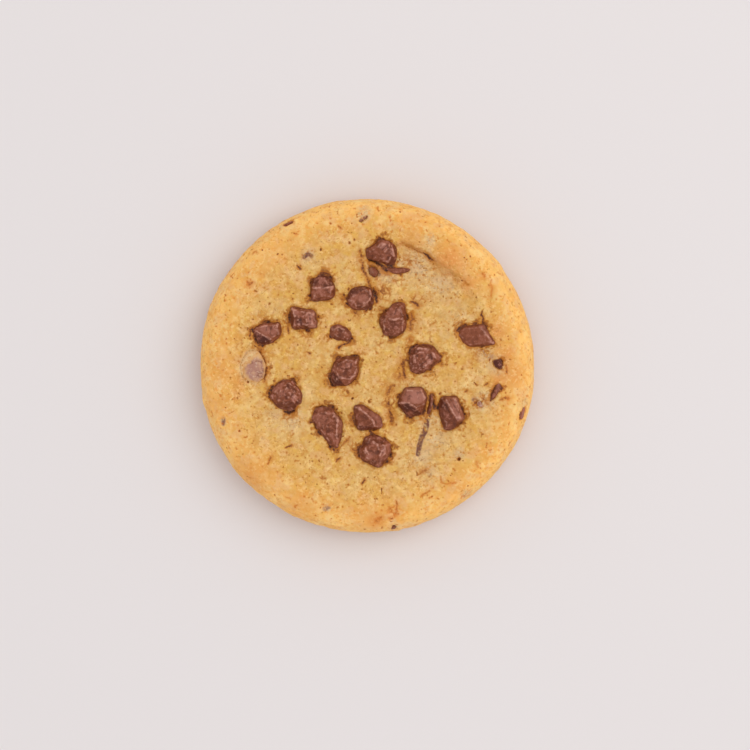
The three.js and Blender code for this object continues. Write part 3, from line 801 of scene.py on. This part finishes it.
def outside(places, corners):
    """Distance of each [x, y] from a convex outline, and below 0 inside it."""
    nearest = np.full(len(places), 1e9)
    inside = np.ones(len(places), bool)
    for start, end in zip(corners, np.roll(corners, -1, axis=0)):
        nearest = np.minimum(nearest, from_line(places, start, end)[0])
        (across, up), offset = end - start, places - start
        inside &= across * offset[:, 1] - up * offset[:, 0] > 0
    return np.where(inside, -nearest, nearest)


def felt_depth(places, circles):
    """How far each [x, y] is inside the nearest edge of some circles."""
    depths = [UNIT * reach - from_spot(places, x, y) for x, y, reach in circles]
    return np.max(depths, axis=0)


def top_of(node, places):
    """Height of a CAD node's top over each [x, y], and far below where there is none."""
    tree = bvhtree.BVHTree.FromPolygons(*(part.tolist() for part in node_arrays(node)))
    above, down = 2 * HEIGHT, Vector((0, 0, -1))
    hits = [tree.ray_cast(Vector((x, y, above)), down)[0] for x, y in places]
    return np.array([hit.z if hit else -above for hit in hits])


def shown_beside(node, places, apart, offset):
    """1 at each [x, y] beside a piece where it sticks out of the dough, 0 where it is buried."""
    distance = np.maximum(np.linalg.norm(offset, axis=1), 1e-6)
    inward = places - offset * (np.maximum(apart + 0.6, 0) / distance)[:, None]
    return smooth(top_of(node, inward) - top_height(*inward.T), BURIED, -0.6)


# ---- Sockets ----------------------------------------------------------------------------

FELT_ROUND = 4  # how far round a piece the dough feels it
UNDER_CHUNK = (-1.3, -0.6)  # where the dough goes down under a chunk, from its outline
TRENCH_DEPTH = 0.25  # where the dough stands off
LIP_RISE = 0.22  # of the dough that swells beside a piece
MOUND_RISE = 0.15  # of the dough round a thin or veiled piece
FILM_EARLY = 0.45  # how far outside a veiled piece its film starts to rise
PIT_WIDTHS = (0.24, 0.5)  # least and most of the half width


class Sockets:
    """How the dough meets its chocolate."""

    def __init__(self, skin, draw):
        self.skin = skin
        self.draw = draw
        self.sink = np.zeros(len(skin.points))  # how far a point goes down
        # The brown beside the chocolate is partly melted cocoa and partly painted shade.
        self.stain = np.zeros(len(skin.points))  # how brown it is beside the chocolate
        self.veil = np.zeros(len(skin.points))  # where only a film of dough covers it

    def open(self, number, node, upward):
        """Makes room for a piece, and marks the dough that lies round it."""
        points = self.skin.points
        corners, middle = outline_of(node), middle_of(node)
        reach = np.ptp(corners, axis=0).max() / 2 + FELT_ROUND
        close = np.linalg.norm(points[:, :2] - middle, axis=1) < reach
        index = np.flatnonzero(upward & close)
        places = points[index]
        apart = outside(places[:, :2], corners)
        offset = places[:, :2] - middle
        ragged = noise(places, 1.3, 40 + number) + 0.7 * noise(places, 0.7, 70 + number)
        stands_off = self.standing_off(node, offset, ragged)
        size = 0.5 if is_sliver(node) else 1.0
        wall = apart - size * np.clip(0.3 * stands_off + 0.16 * ragged, -0.1, 0.6)
        if is_sliver(node) or is_veiled(node):
            self.cover(node, index, apart, offset, ragged)
        else:
            under = SOCKET_DEPTH * (1 - smooth(apart, *UNDER_CHUNK))
            trench = TRENCH_DEPTH * stands_off * (1 - smooth(wall, -0.3, 0.4))
            self.sink[index] = np.maximum(self.sink[index], under + trench)
        if is_veiled(node):
            shows = stands_off * (apart >= 0)
        else:
            over = smooth(top_of(node, places[:, :2]) - places[:, 2], BURIED, -0.3)
            beside = shown_beside(node, places[:, :2], apart, offset)
            shows = np.where(apart < 0, over, beside)
        self.meet(index, wall, stands_off, ragged, size, shows)

    def standing_off(self, node, offset, ragged):
        """How much the dough stands off a piece, in the ragged gaps that it has."""
        azimuth = azimuth_of(*offset.T)
        felt = np.zeros(len(offset))
        for at, half_width in DETAILS[node].get("gaps", []):
            felt = np.maximum(felt, round_the_edge(azimuth, at, half_width))
        return np.clip(felt * (1 + 0.9 * ragged), 0, 1)

    def meet(self, index, wall, stands_off, ragged, size, shows):
        """Swells the dough a little next to a piece, and browns it there: a brown that is partly
        melted cocoa and partly painted shade, and a darker line of painted shade where they meet.
        """
        skin = self.skin
        lip = np.clip((1 - 0.6 * stands_off) * (0.8 + 0.6 * ragged), 0, 2)
        skin.rise[index] += size * LIP_RISE * bell(wall - 0.75, 0.85) * lip
        line = (1 - smooth(wall, 0.0, 0.25 + 0.4 * stands_off)) * (0.3 + 0.55 * stands_off)
        skin.cleft[index] = np.maximum(skin.cleft[index], shows * line)
        spread = size * (0.7 + 1.5 * stands_off + 0.6 * np.clip(ragged, -1, 1))
        felt = np.clip(0.3 + 0.7 * stands_off + 0.5 * ragged, 0, 1)
        stain_and_shade_amount = (1 - smooth(wall, 0.2 * stands_off, np.maximum(spread, 0.3))) * felt
        self.stain[index] = np.maximum(self.stain[index], shows * stain_and_shade_amount)

    def cover(self, node, index, apart, offset, ragged):
        """Lays the dough just under a thin piece, and over a veiled one but where it is bare."""
        skin = self.skin
        height = skin.points[index, 2]
        above = top_of(node, skin.points[index, :2])
        shown, early = np.ones(len(index)), 0
        if is_veiled(node):
            depth = felt_depth(offset, DETAILS[node]["bare"])
            shown, early = 1 - smooth(0.35 * ragged - depth, -0.2, 0.15), FILM_EARLY
        film = mixed(VEIL, -SLIVER_COVER, shown) + 0.05 * ragged
        over = np.where(above < height - 0.8, height, above + film)
        moved = mixed(height, over, smooth(-apart, -0.1 - early, 0.45 - 0.2 * ragged - early))
        self.sink[index] = np.where(apart < 0.1 + early, height - moved, self.sink[index])
        self.veil[index] = np.maximum(self.veil[index], smooth(-apart, -1.2, 0.6) * (1 - shown))
        skin.rise[index] += MOUND_RISE * bell(np.maximum(apart, 0), 2.0) * (apart > 0.1)

    def pit(self, node, count):
        """Small pits in the dough round a piece, most of them where it stands off."""
        corners, middle = outline_of(node), middle_of(node)
        gaps = DETAILS[node].get("gaps", [(0, 180)])
        for _ in range(count):
            at, half_width = gaps[self.draw.integers(len(gaps))]
            direction = facing(at + half_width * self.draw.normal(0, 0.9))
            edge = np.max((corners - middle) @ direction[:2])
            place = middle + direction[:2] * (edge * 0.96 + self.draw.uniform(0.1, 1.4))
            along = np.array([-direction[1], direction[0], 0]) * self.draw.uniform(0.02, 0.35)
            centre = np.array([*place, float(top_height(*place))])
            widths = self.draw.uniform(*PIT_WIDTHS, 2)
            dark = self.draw.uniform(0.25, 0.8)
            self.skin.groove(centre - along, centre + along, widths, dark * widths[0], dark)


# ---- The dough --------------------------------------------------------------------------

FOLD_AZIMUTHS = (56, 42)  # middle and half width of the rim's fold over the hollow
FOLD_FOOT = (0.735, 0.772)  # shares of the radius over which it rises steeply
FOLD_BACK = (0.8, 0.98)  # and over which it falls again
FOLD_RISE = 0.95
CHUNK_PITS, SLIVER_PITS = 4, 1  # small pits round a piece


def swell(skin, azimuth, share, ragged_share):
    """Soft lumps, broad to fine, and the fold of the rim at the upper right."""
    calm = 1 - 0.4 * smooth(share, 0.75, 0.95)
    lumps = 0.6 * noise(skin.points, 1.7, 9) + 0.5 * noise(skin.points, 0.9, 10)
    skin.rise += 0.18 * rough(skin.points, 9, 1) + 0.14 * rough(skin.points, 3.4, 5)
    skin.rise += 0.13 * calm * lumps
    fold = smooth(ragged_share, *FOLD_FOOT) * (1 - smooth(share, *FOLD_BACK))
    skin.rise += FOLD_RISE * fold * round_the_edge(azimuth, *FOLD_AZIMUTHS)
    return lumps


def tear(skin):
    """Crumbly patches, where the dough tore open."""
    torn = spots(skin.points, CRUMBLY) * np.clip(0.8 + 0.7 * noise(skin.points, 2.5, 13), 0, 1)
    grains = crumbs(skin.points, 1.5, 15)
    skin.rise += torn * (0.12 - 0.5 * (1 - grains))
    skin.cleft = np.maximum(skin.cleft, 0.75 * torn * (1 - grains) ** 2)


def random_turn(skin, draw, middle, length):
    """Three points of a short bent line along the surface."""
    first = np.cross(skin.normals[middle], draw.normal(size=3))
    second = mixed(first, np.cross(skin.normals[middle], draw.normal(size=3)), 0.45)
    place = skin.points[middle]
    half = length / 2 / max(np.linalg.norm(first), 1e-6)
    return place - first * half, place, place + second * half


def scatter_slits(skin, draw, allowed, count, length, width, dark):
    """Cuts short bent slits at random places. The last three are [least, most]."""
    for middle in draw.choice(np.flatnonzero(allowed), count, replace=False):
        start, bend, end = random_turn(skin, draw, middle, draw.uniform(*length))
        shade = draw.uniform(*dark)
        wide = mixed(*width, draw.beta(1.3, 2.5))
        depth = 0.8 * wide * shade
        skin.groove(start, bend, (0.55 * wide, wide), depth, shade)
        skin.groove(bend, end, (wide, 0.5 * wide), depth, shade)


def cut_marks(skin, draw, share, drop):
    """Cuts the cracks, the pits and the slits into the dough."""
    for dark, width, route in CRACKS:
        skin.crack(dark, width, route, draw)
    for x, y, width, dark in PITS:
        start = on_top((x, y))
        end = start + draw.normal(0, 0.5 * width, 3) * (1, 1, 0)
        skin.groove(start, end, (width, 0.8 * width), width * (0.5 + dark), dark)
    parts = {
        "top": (drop == 0) & (share < 0.95),
        "side": (drop < 0.9) & (share > 0.94),
        "base": drop == 1,
    }
    for part, count, length, width, dark in SLITS:
        scatter_slits(skin, draw, parts[part], count, length, width, dark)


def run_cocoa(skin):
    """How strongly the streaks of cocoa, which sink in a little, are felt at each point."""
    cocoa = np.zeros(len(skin.points))
    ragged = 0.95 + 0.5 * rough(skin.points, 0.9, 31)
    for dark, width, route in STREAKS:
        stops = [on_top(place) for place in route]
        for start, end in zip(stops, stops[1:]):
            index, apart, _ = skin.near(start, end, width)
            felt = dark * np.clip(1.6 * bell(apart, width) * ragged[index], 0, 1)
            cocoa[index] = np.maximum(cocoa[index], felt)
            skin.carved[index] = np.maximum(skin.carved[index], 0.2 * felt)
    return cocoa


def make_dough():
    """The dough, with one number at each point for every mark that the materials read."""
    points, faces, drop = dough_grid()
    skin = Skin(points, faces)
    draw = np.random.default_rng(21)
    azimuth = azimuth_of(points[:, 0], points[:, 1])
    share = np.hypot(points[:, 0], points[:, 1]) / edge_radius(azimuth)
    ragged_share = share + 0.012 * noise(points, 3.0, 3) + 0.004 * noise(points, 1.0, 4)

    lumps = swell(skin, azimuth, share, ragged_share)
    tear(skin)
    cut_marks(skin, draw, share, drop)
    sockets = Sockets(skin, draw)
    for number, node in enumerate(PIECES):
        sockets.open(number, node, (drop == 0) & (share < 0.999))
        sockets.pit(node, SLIVER_PITS if is_sliver(node) else CHUNK_PITS)
    cocoa = run_cocoa(skin)

    off_base = 1 - smooth(drop, 0.75, 1)
    moved = points + skin.normals * ((skin.rise * off_base) - skin.carved)[:, None]
    moved[:, 2] = np.maximum(moved[:, 2] - sockets.sink, 0)
    made = make_object("dough_crumb", moved, faces)
    paint(
        made,
        cleft=np.clip(skin.cleft, 0, 1),
        relief=np.clip(lumps + 0.5 * noise(points, 3.4, 5), -1, 1),
        stain=sockets.stain,
        veil=sockets.veil,
        cocoa=cocoa,
        smear=spots(points, SMEARS),
        toast=spots(points, TOASTED_AND_SHADED) * smooth(ragged_share, 0.68, 0.77),
        rim=smooth(share, 0.6, 1.0) * (1 - smooth(drop, 0.9, 1)),
        underside=smooth(drop, 0.35, 1),
    )
    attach(made, "root")
    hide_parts("dough")
    return made


# ---- Chocolate --------------------------------------------------------------------------

CHUNK_VOXEL = 0.18  # size of a full-size chunk's triangles
SLIVER_VOXEL = 0.12  # and of a thin piece's
RIDGE_RISE, RIDGE_WIDTH = 0.08, 0.2
DENT_DEPTH, DENT_WIDTH = 0.1, 0.24
SHARP = 0.022  # how far a sharp edge stands proud of its neighbours


def even_mesh(node, voxel):
    """A CAD node's solid as points and triangles of an even size, in millimetres."""
    points, faces = node_arrays(node)
    plain = make_object("plain", points / MM, faces)
    remesh = plain.modifiers.new("even", "REMESH")
    remesh.mode = "VOXEL"
    remesh.voxel_size = voxel
    graph = bpy.context.evaluated_depsgraph_get()
    arrays = mesh_arrays(plain.evaluated_get(graph).data)
    bpy.data.objects.remove(plain)
    return arrays


def felt_lines(places, routes, width):
    """How strongly soft lines over the top of a piece are felt at each [x, y]."""
    felt = np.zeros(len(places))
    for route in routes:
        stops = UNIT * np.array(route)
        for start, end in zip(stops, stops[1:]):
            apart = from_line(places, start, end)[0]
            felt = np.maximum(felt, np.exp(-((apart / width) ** 2)))
    return felt


def felt_tones(places, faces, tones, ragged):
    """How light or dark each [x, y] of a piece is, from -1 to 1: painted light and shade on
    its broken faces, and soft patches of its own colour and of painted highlight and shade.
    """
    total = np.zeros(len(places))
    for azimuth, offset, lightness in faces:
        along = places @ facing(azimuth)[:2] + 0.14 * ragged
        total += lightness * smooth(along - UNIT * offset, -0.14, 0.14)
    for x, y, reach, lightness in tones:
        total += lightness * (1 - smooth(from_spot(places, x, y) / (UNIT * reach), 0.4, 1.1))
    return np.clip(total, -1, 1)


def make_chocolate(number, node):
    """A piece of chocolate, with its lumps, broken faces, ridges and dents."""
    details = DETAILS[node]
    small, veiled = is_sliver(node), is_veiled(node)
    roughness = details.get("rough", 1.0)
    points, faces = even_mesh(node, SLIVER_VOXEL if small else CHUNK_VOXEL)
    around = Neighbours(faces, len(points))
    points = around.smoothed(points, 3)
    places = points[:, :2] - middle_of(node)

    normals = point_normals(points, faces)
    upper = smooth(normals[:, 2], 0.0, 0.3)
    ridges = upper * felt_lines(places, details.get("ridges", []), RIDGE_WIDTH)
    dents = upper * felt_lines(places, details.get("dents", []), DENT_WIDTH)
    lumps = 0.17 * rough(points, 2.4, 400 + number) + 0.1 * noise(points, 0.9, 440 + number)
    height = roughness * (0.4 if small or veiled else 1.0) * lumps
    points = points + normals * (height + RIDGE_RISE * ridges - DENT_DEPTH * dents)[:, None]

    normals = point_normals(points, faces)
    proud = np.sum(normals * (points - around.average(points)), axis=1)
    proud = around.smoothed(proud[:, None], 2)[:, 0]
    ragged = noise(points, 1.1, 460 + number)
    broken = np.clip(0.65 + 0.9 * ragged, 0, 1)
    if veiled:
        edge = (2.0 if small else 0.5) * felt_depth(places, details["bare"])
    else:
        edge = -outside(points[:, :2], outline_of(node))
    # The band along the outline of a bare piece is painted shade where it goes down into the dough;
    # on a veiled piece it is where the film covers it.
    outline_band = 1 - smooth(edge + 0.15 * noise(points, 0.8, 480 + number), 0.1, 0.55)
    made = make_object(("veiled_" if veiled else "chocolate_") + node, points, faces)
    paint(
        made,
        proud=np.clip(proud / SHARP + broken * (ridges - dents), -1, 1),
        tone=felt_tones(places, details.get("faces", []), details.get("tones", []), ragged),
        grainy=np.full(len(points), min(1, 0.35 + 0.4 * roughness)),
        edge=outline_band * (0.5 if small and not veiled else 1),
    )
    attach(made, "root")
    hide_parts(node)
    return made


# ---- Materials --------------------------------------------------------------------------


def colour(red, green, blue):
    """A screen colour as the linear colour that shaders take."""
    shares = [part / 255 for part in (red, green, blue)]
    linear = [s / 12.92 if s <= 0.04045 else ((s + 0.055) / 1.055) ** 2.4 for s in shares]
    return (*linear, 1)


class Finish:
    """The nodes of one material, whose colour is built up coat by coat."""

    def __init__(self, name, roughness, base, **settings):
        self.material = bpy.data.materials.new(name)
        self.material.use_nodes = True
        self.tree = self.material.node_tree
        self.surface = self.tree.nodes["Principled BSDF"]
        self.tint = colour(*base)
        self.set("Roughness", roughness)
        for socket, value in settings.items():
            self.set(socket.replace("_", " "), value)
        self.place = self.node("ShaderNodeTexCoord").outputs["Object"]

    def node(self, kind, **settings):
        """A new node with the given settings."""
        made = self.tree.nodes.new(kind)
        for name, value in settings.items():
            setattr(made, name, value)
        return made

    def feed(self, socket, value):
        """Links a value to a socket, or sets it there."""
        if isinstance(value, bpy.types.NodeSocket):
            self.tree.links.new(value, socket)
        else:
            socket.default_value = value

    def set(self, socket, value):
        """Links a value to one of the surface's own sockets, or sets it there."""
        self.feed(self.surface.inputs[socket], value)

    def attribute(self, name):
        """The numbers that were painted on the mesh under a name."""
        return self.node("ShaderNodeAttribute", attribute_name=name).outputs["Fac"]

    def noise(self, size, detail, roughness=0.5):
        """Cloudy noise, 0 to 1, whose lumps are about as wide as size."""
        made = self.node("ShaderNodeTexNoise")
        self.feed(made.inputs["Vector"], self.place)
        self.feed(made.inputs["Scale"], 1 / (size * MM))
        self.feed(made.inputs["Detail"], detail)
        self.feed(made.inputs["Roughness"], roughness)
        return made.outputs["Fac"]

    def math(self, operation, first, second=0.0):
        """One sum of two values."""
        made = self.node("ShaderNodeMath", operation=operation)
        self.feed(made.inputs[0], first)
        self.feed(made.inputs[1], second)
        return made.outputs[0]

    def times(self, first, second):
        """The product of two values."""
        return self.math("MULTIPLY", first, second)

    def fade(self, value, low, high, start=0.0, end=1.0):
        """Goes from start to end as value goes from low to high."""
        made = self.node("ShaderNodeMapRange", interpolation_type="SMOOTHSTEP")
        for socket, number in zip(made.inputs[:5], (value, low, high, start, end)):
            self.feed(socket, number)
        return made.outputs[0]

    def patches(self, size, detail, low, high, most=1.0, roughness=0.5):
        """Cloudy patches: 0 where their noise is at low, and most where it is at high."""
        return self.fade(self.noise(size, detail, roughness), low, high, 0, most)

    def blend(self, amount, first, second):
        """The colour that goes from first to second as amount goes from 0 to 1."""
        made = self.node("ShaderNodeMix", data_type="RGBA")
        self.feed(made.inputs["Factor"], amount)
        self.feed(made.inputs[6], first)
        self.feed(made.inputs[7], second)
        return made.outputs[2]

    def coat(self, amount, red, green, blue):
        """Lays a screen colour over the tint, by an amount."""
        self.tint = self.blend(amount, self.tint, colour(red, green, blue))

    def relief(self, size, roughness, height):
        """Fine relief whose lumps are about as wide as size."""
        made = self.node("ShaderNodeBump")
        self.feed(made.inputs["Height"], self.noise(size, 3.0, roughness))
        self.feed(made.inputs["Distance"], height * MM)
        self.set("Normal", made.outputs["Normal"])

    def done(self):
        """The material, once its tint is in place."""
        self.set("Base Color", self.tint)
        return self.material


def tint_crumb(made):
    """The dough's colours: cream and golden patches, more orange towards the rim, with
    painted shade in its hollows and painted light on its lumps.
    """
    rim, relief = made.attribute("rim"), made.attribute("relief")
    inland = made.fade(rim, 0.4, 1.0, 1.0, 0.3)
    outward = made.fade(rim, 0.0, 0.6, 0.3, 1.0)
    # Golden patches, and the warmer and paler rim.
    made.coat(made.patches(5.5, 2, 0.4, 0.6), 209, 156, 70)
    made.coat(made.times(rim, 0.85), 236, 172, 82)
    made.coat(made.fade(rim, 0.75, 1.0, 0, 0.85), 253, 194, 104)
    # Orange, pale and olive patches.
    made.coat(made.times(outward, made.patches(4.0, 2, 0.5, 0.66, 0.5)), 230, 158, 66)
    made.coat(made.patches(3.0, 1, 0.52, 0.68, 0.4), 242, 208, 140)
    made.coat(made.times(inland, made.patches(3.6, 1, 0.5, 0.34, 0.45)), 202, 152, 72)
    # Painted shade in the hollows and painted light on the lumps.
    made.coat(made.times(inland, made.fade(relief, 0.1, -0.9, 0, 0.55)), 202, 136, 44)
    made.coat(made.fade(relief, 0.0, 0.9, 0, 0.35), 246, 210, 138)
    # Yellow and buff patches.
    made.coat(made.times(inland, made.patches(2.4, 1, 0.52, 0.66, 0.5)), 222, 172, 74)
    made.coat(made.patches(2.6, 1, 0.52, 0.66, 0.35), 224, 174, 124)


def soil_and_shade(made):
    """Browned, greyed and stained places, with painted shade beside the chocolate and on the
    inner wall of the rim at the upper right.
    """
    # Browner where the oven browned it more, and painted shade on the inner wall of the rim.
    uneven = made.fade(made.noise(3.2, 3.0, 0.6), 0.3, 0.6, 0.7, 1.0)
    toasted = made.times(made.attribute("toast"), uneven)
    made.coat(made.times(toasted, 0.75), 220, 144, 66)
    smear = made.attribute("smear")
    made.coat(made.times(smear, 0.75), 206, 174, 132)
    speck = made.patches(1.0, 2, 0.52, 0.66, 0.7, 0.6)
    made.coat(made.times(smear, speck), 146, 102, 62)
    made.coat(made.times(made.attribute("veil"), 0.75), 218, 178, 132)
    cocoa = made.attribute("cocoa")
    made.coat(made.fade(cocoa, 0.0, 0.4, 0, 0.6), 186, 138, 104)
    made.coat(made.fade(cocoa, 0.25, 0.75, 0, 0.9), 100, 44, 30)
    # Brown beside the chocolate: partly melted cocoa, partly painted shade.
    stain = made.attribute("stain")
    made.coat(made.fade(stain, 0.0, 0.5, 0, 0.85), 180, 108, 4)
    made.coat(made.fade(stain, 0.5, 1.0, 0, 0.75), 118, 58, 0)
    made.coat(made.times(made.attribute("underside"), 0.7), 190, 122, 58)


def fleck(made, outer):
    """Grains, pores, specks and hairlines. outer is 1 on the rim, where they are warmer."""
    coarse = made.fade(made.noise(4.5, 2.0), 0.35, 0.6, 0.4, 1.0)
    tan = made.blend(outer, colour(198, 134, 48), colour(230, 154, 62))
    grain = made.times(coarse, made.patches(0.9, 3, 0.5, 0.36, 0.85, 0.65))
    made.tint = made.blend(grain, made.tint, tan)
    grain = made.times(coarse, made.patches(0.8, 2, 0.52, 0.66, 0.4, 0.6))
    made.coat(grain, 248, 210, 136)
    pores = made.times(made.patches(1.2, 1, 0.62, 0.72, 0.5), made.attribute("rim"))
    made.coat(pores, 222, 144, 50)
    edge = made.fade(made.attribute("stain"), 0.0, 0.5, 0.28, 0.38)
    speck = made.math("SUBTRACT", edge, made.noise(1.1, 1.0, 0.6))
    made.coat(made.fade(speck, -0.08, 0.0, 0, 0.6), 204, 136, 34)
    dark = made.blend(outer, colour(130, 68, 2), colour(184, 84, 0))
    made.tint = made.blend(made.fade(speck, -0.01, 0.06, 0, 0.75), made.tint, dark)
    apart = made.math("ABSOLUTE", made.math("SUBTRACT", made.noise(2.2, 4.0, 0.65), 0.5))
    lines = made.times(made.fade(apart, 0.004, 0.018, 1.0, 0.0), made.patches(1.8, 1, 0.57, 0.63))
    made.coat(made.times(lines, made.fade(outer, 0.0, 1.0, 0.6, 0.0)), 156, 88, 8)


def darken_clefts(made, outer):
    """Amber to nearly black, by how deep in a cleft it is: the baked amber of the cracks, and
    painted shade where it is deep.
    """
    ragged = made.fade(made.noise(0.5, 3.0, 0.7), 0.36, 0.6, 0.7, 1.2)
    cleft = made.times(made.attribute("cleft"), ragged)
    amber = made.blend(outer, colour(184, 108, 0), colour(206, 110, 0))
    made.tint = made.blend(made.fade(cleft, 0.0, 0.4, 0.0, 0.8), made.tint, amber)
    made.coat(made.fade(cleft, 0.32, 0.72, 0.0, 0.9), 118, 54, 4)
    made.coat(made.fade(cleft, 0.7, 1.0, 0.0, 0.9), 60, 26, 10)


def dough_finish():
    """Soft-baked dough, dull and a little see-through."""
    made = Finish("baked_dough", 0.7, (213, 168, 98), Subsurface_Weight=0.12)
    made.set("Subsurface Radius", (1.0, 0.5, 0.2))
    made.set("Subsurface Scale", 1.2 * MM)
    outer = made.fade(made.attribute("rim"), 0.3, 0.9)
    tint_crumb(made)
    soil_and_shade(made)
    fleck(made, outer)
    darken_clefts(made, outer)
    made.relief(0.6, 0.65, 0.12)
    return made.done()


def chocolate_finish():
    """Mottled milk chocolate, lighter along its edges from wear, with painted light and shade:
    lighter and darker faces, highlights on its ridges and edges, glints, and shade in its
    dents and along its outline.
    """
    made = Finish("milk_chocolate", 0.42, (128, 66, 38), Specular_IOR_Level=0.24)
    tone, grainy, proud = (made.attribute(name) for name in ("tone", "grainy", "proud"))
    # Lighter and darker: partly the chocolate's own colour, partly painted light and shade on faces
    # as the light falls on them, and painted highlights.
    made.coat(made.fade(tone, 0, -1), 78, 30, 14)
    made.coat(made.fade(tone, 0, 1), 168, 108, 90)
    made.coat(made.times(grainy, made.patches(1.6, 5, 0.5, 0.62, 0.8, 0.72)), 164, 100, 80)
    made.coat(made.times(grainy, made.patches(1.6, 5, 0.5, 0.38, 0.8, 0.72)), 76, 30, 14)
    # Painted glints.
    made.coat(made.times(grainy, made.patches(0.8, 2, 0.62, 0.72, 0.5, 0.7)), 196, 144, 128)
    # Edges and ridges lighter, partly from wear and partly as painted highlights.
    wear_and_highlight = made.fade(made.noise(0.8, 2.0), 0.38, 0.6, 0.35, 1)
    made.coat(made.times(made.fade(proud, 0.2, 0.9, 0, 0.8), wear_and_highlight), 194, 138, 118)
    # Painted shade in the dents and hollows.
    made.coat(made.fade(proud, -0.2, -1.0, 0, 0.6), 66, 26, 12)
    # Painted shade along the outline, where the piece goes down into the dough, with painted
    # reddish bounce light from the dough.
    made.coat(made.times(made.attribute("edge"), 0.7), 104, 48, 18)
    made.set("Roughness", made.fade(made.noise(1.2, 2.0), 0.3, 0.7, 0.36, 0.55))
    made.relief(0.45, 0.6, 0.05)
    return made.done()


def veiled_finish():
    """Chocolate under a thin film of dough, which looks like the dough towards the edge."""
    made = Finish("veiled_chocolate", 0.65, (124, 62, 38), Specular_IOR_Level=0.25)
    tone, edge = made.attribute("tone"), made.attribute("edge")
    thick = made.fade(tone, -0.8, 0.2, 0.3, 1.0)
    made.coat(made.fade(tone, -0.8, 0.3), 180, 132, 112)
    made.coat(made.times(thick, made.patches(2.0, 4, 0.46, 0.6, 0.6, 0.6)), 200, 152, 114)
    made.coat(made.patches(1.6, 4, 0.48, 0.38, 0.6, 0.6), 124, 74, 54)
    made.coat(made.times(thick, made.patches(0.6, 2, 0.54, 0.7, 0.6, 0.6)), 214, 182, 158)
    made.coat(made.times(edge, 0.9), 216, 166, 106)
    made.coat(made.times(edge, made.patches(0.9, 3, 0.54, 0.4, 0.7, 0.65)), 198, 136, 70)
    made.relief(0.6, 0.6, 0.08)
    return made.done()


# ---- Stage ------------------------------------------------------------------------------

FLOOR_SIZE = 3000
FLOOR_DROP = 0.05  # below the base, so that neither shows through the other
CAMERA_DISTANCE = 1000  # from the top of the dough
FRAME_WIDTH = 188.9  # what the camera takes in at that distance
CAMERA_OFFSET = (2.0, -2.3)  # the view's middle lies a little off the cookie's
LIGHT_FROM = (25, 56)  # azimuth and elevation
LIGHT_DISTANCE = 1500
LIGHT_SIZE = 1300
LIGHT_WATTS = 6.1
ROOM_BRIGHTNESS = 0.94


def add_floor():
    """A plain pale floor."""
    corners = np.array([(-1, -1, 0), (1, -1, 0), (1, 1, 0), (-1, 1, 0)]) * FLOOR_SIZE / 2
    corners[:, 2] -= FLOOR_DROP
    made = make_object("floor", corners, np.array([[0, 1, 2, 3]]))
    made.data.materials.append(Finish("pale_floor", 0.6, (222, 214, 211)).done())


def add_light():
    """A large soft light that faces the cookie."""
    lamp = bpy.data.lights.new("window", "AREA")
    lamp.shape = "DISK"
    lamp.size = LIGHT_SIZE * MM
    lamp.energy = LIGHT_WATTS
    lamp.color = (1.0, 0.98, 0.94)
    made = bpy.data.objects.new("window", lamp)
    direction = Vector(facing(*LIGHT_FROM))
    made.location = direction * LIGHT_DISTANCE * MM
    made.rotation_euler = direction.to_track_quat("Z", "Y").to_euler()
    bpy.context.scene.collection.objects.link(made)


def light_the_room():
    """An even pale room."""
    world = bpy.data.worlds.new("room")
    world.use_nodes = True
    background = world.node_tree.nodes["Background"]
    background.inputs["Color"].default_value = (0.94, 0.96, 1.0, 1)
    background.inputs["Strength"].default_value = ROOM_BRIGHTNESS
    bpy.context.scene.world = world
    bpy.context.scene.view_settings.view_transform = "Standard"


def add_camera():
    """A camera that looks straight down from far away."""
    lens = bpy.data.cameras.new("camera")
    lens.sensor_width = 36
    lens.lens = lens.sensor_width * CAMERA_DISTANCE / FRAME_WIDTH
    lens.clip_end = 10
    made = bpy.data.objects.new("camera", lens)
    made.location = Vector((*CAMERA_OFFSET, HEIGHT + CAMERA_DISTANCE)) * MM
    bpy.context.scene.collection.objects.link(made)
    bpy.context.scene.camera = made


# ---- The scene --------------------------------------------------------------------------

dough = make_dough()
dough.data.materials.append(dough_finish())
bare_finish, film_finish = chocolate_finish(), veiled_finish()
for number, node in enumerate(PIECES):
    piece = make_chocolate(number, node)
    piece.data.materials.append(film_finish if is_veiled(node) else bare_finish)
add_floor()
light_the_room()
add_light()
add_camera()
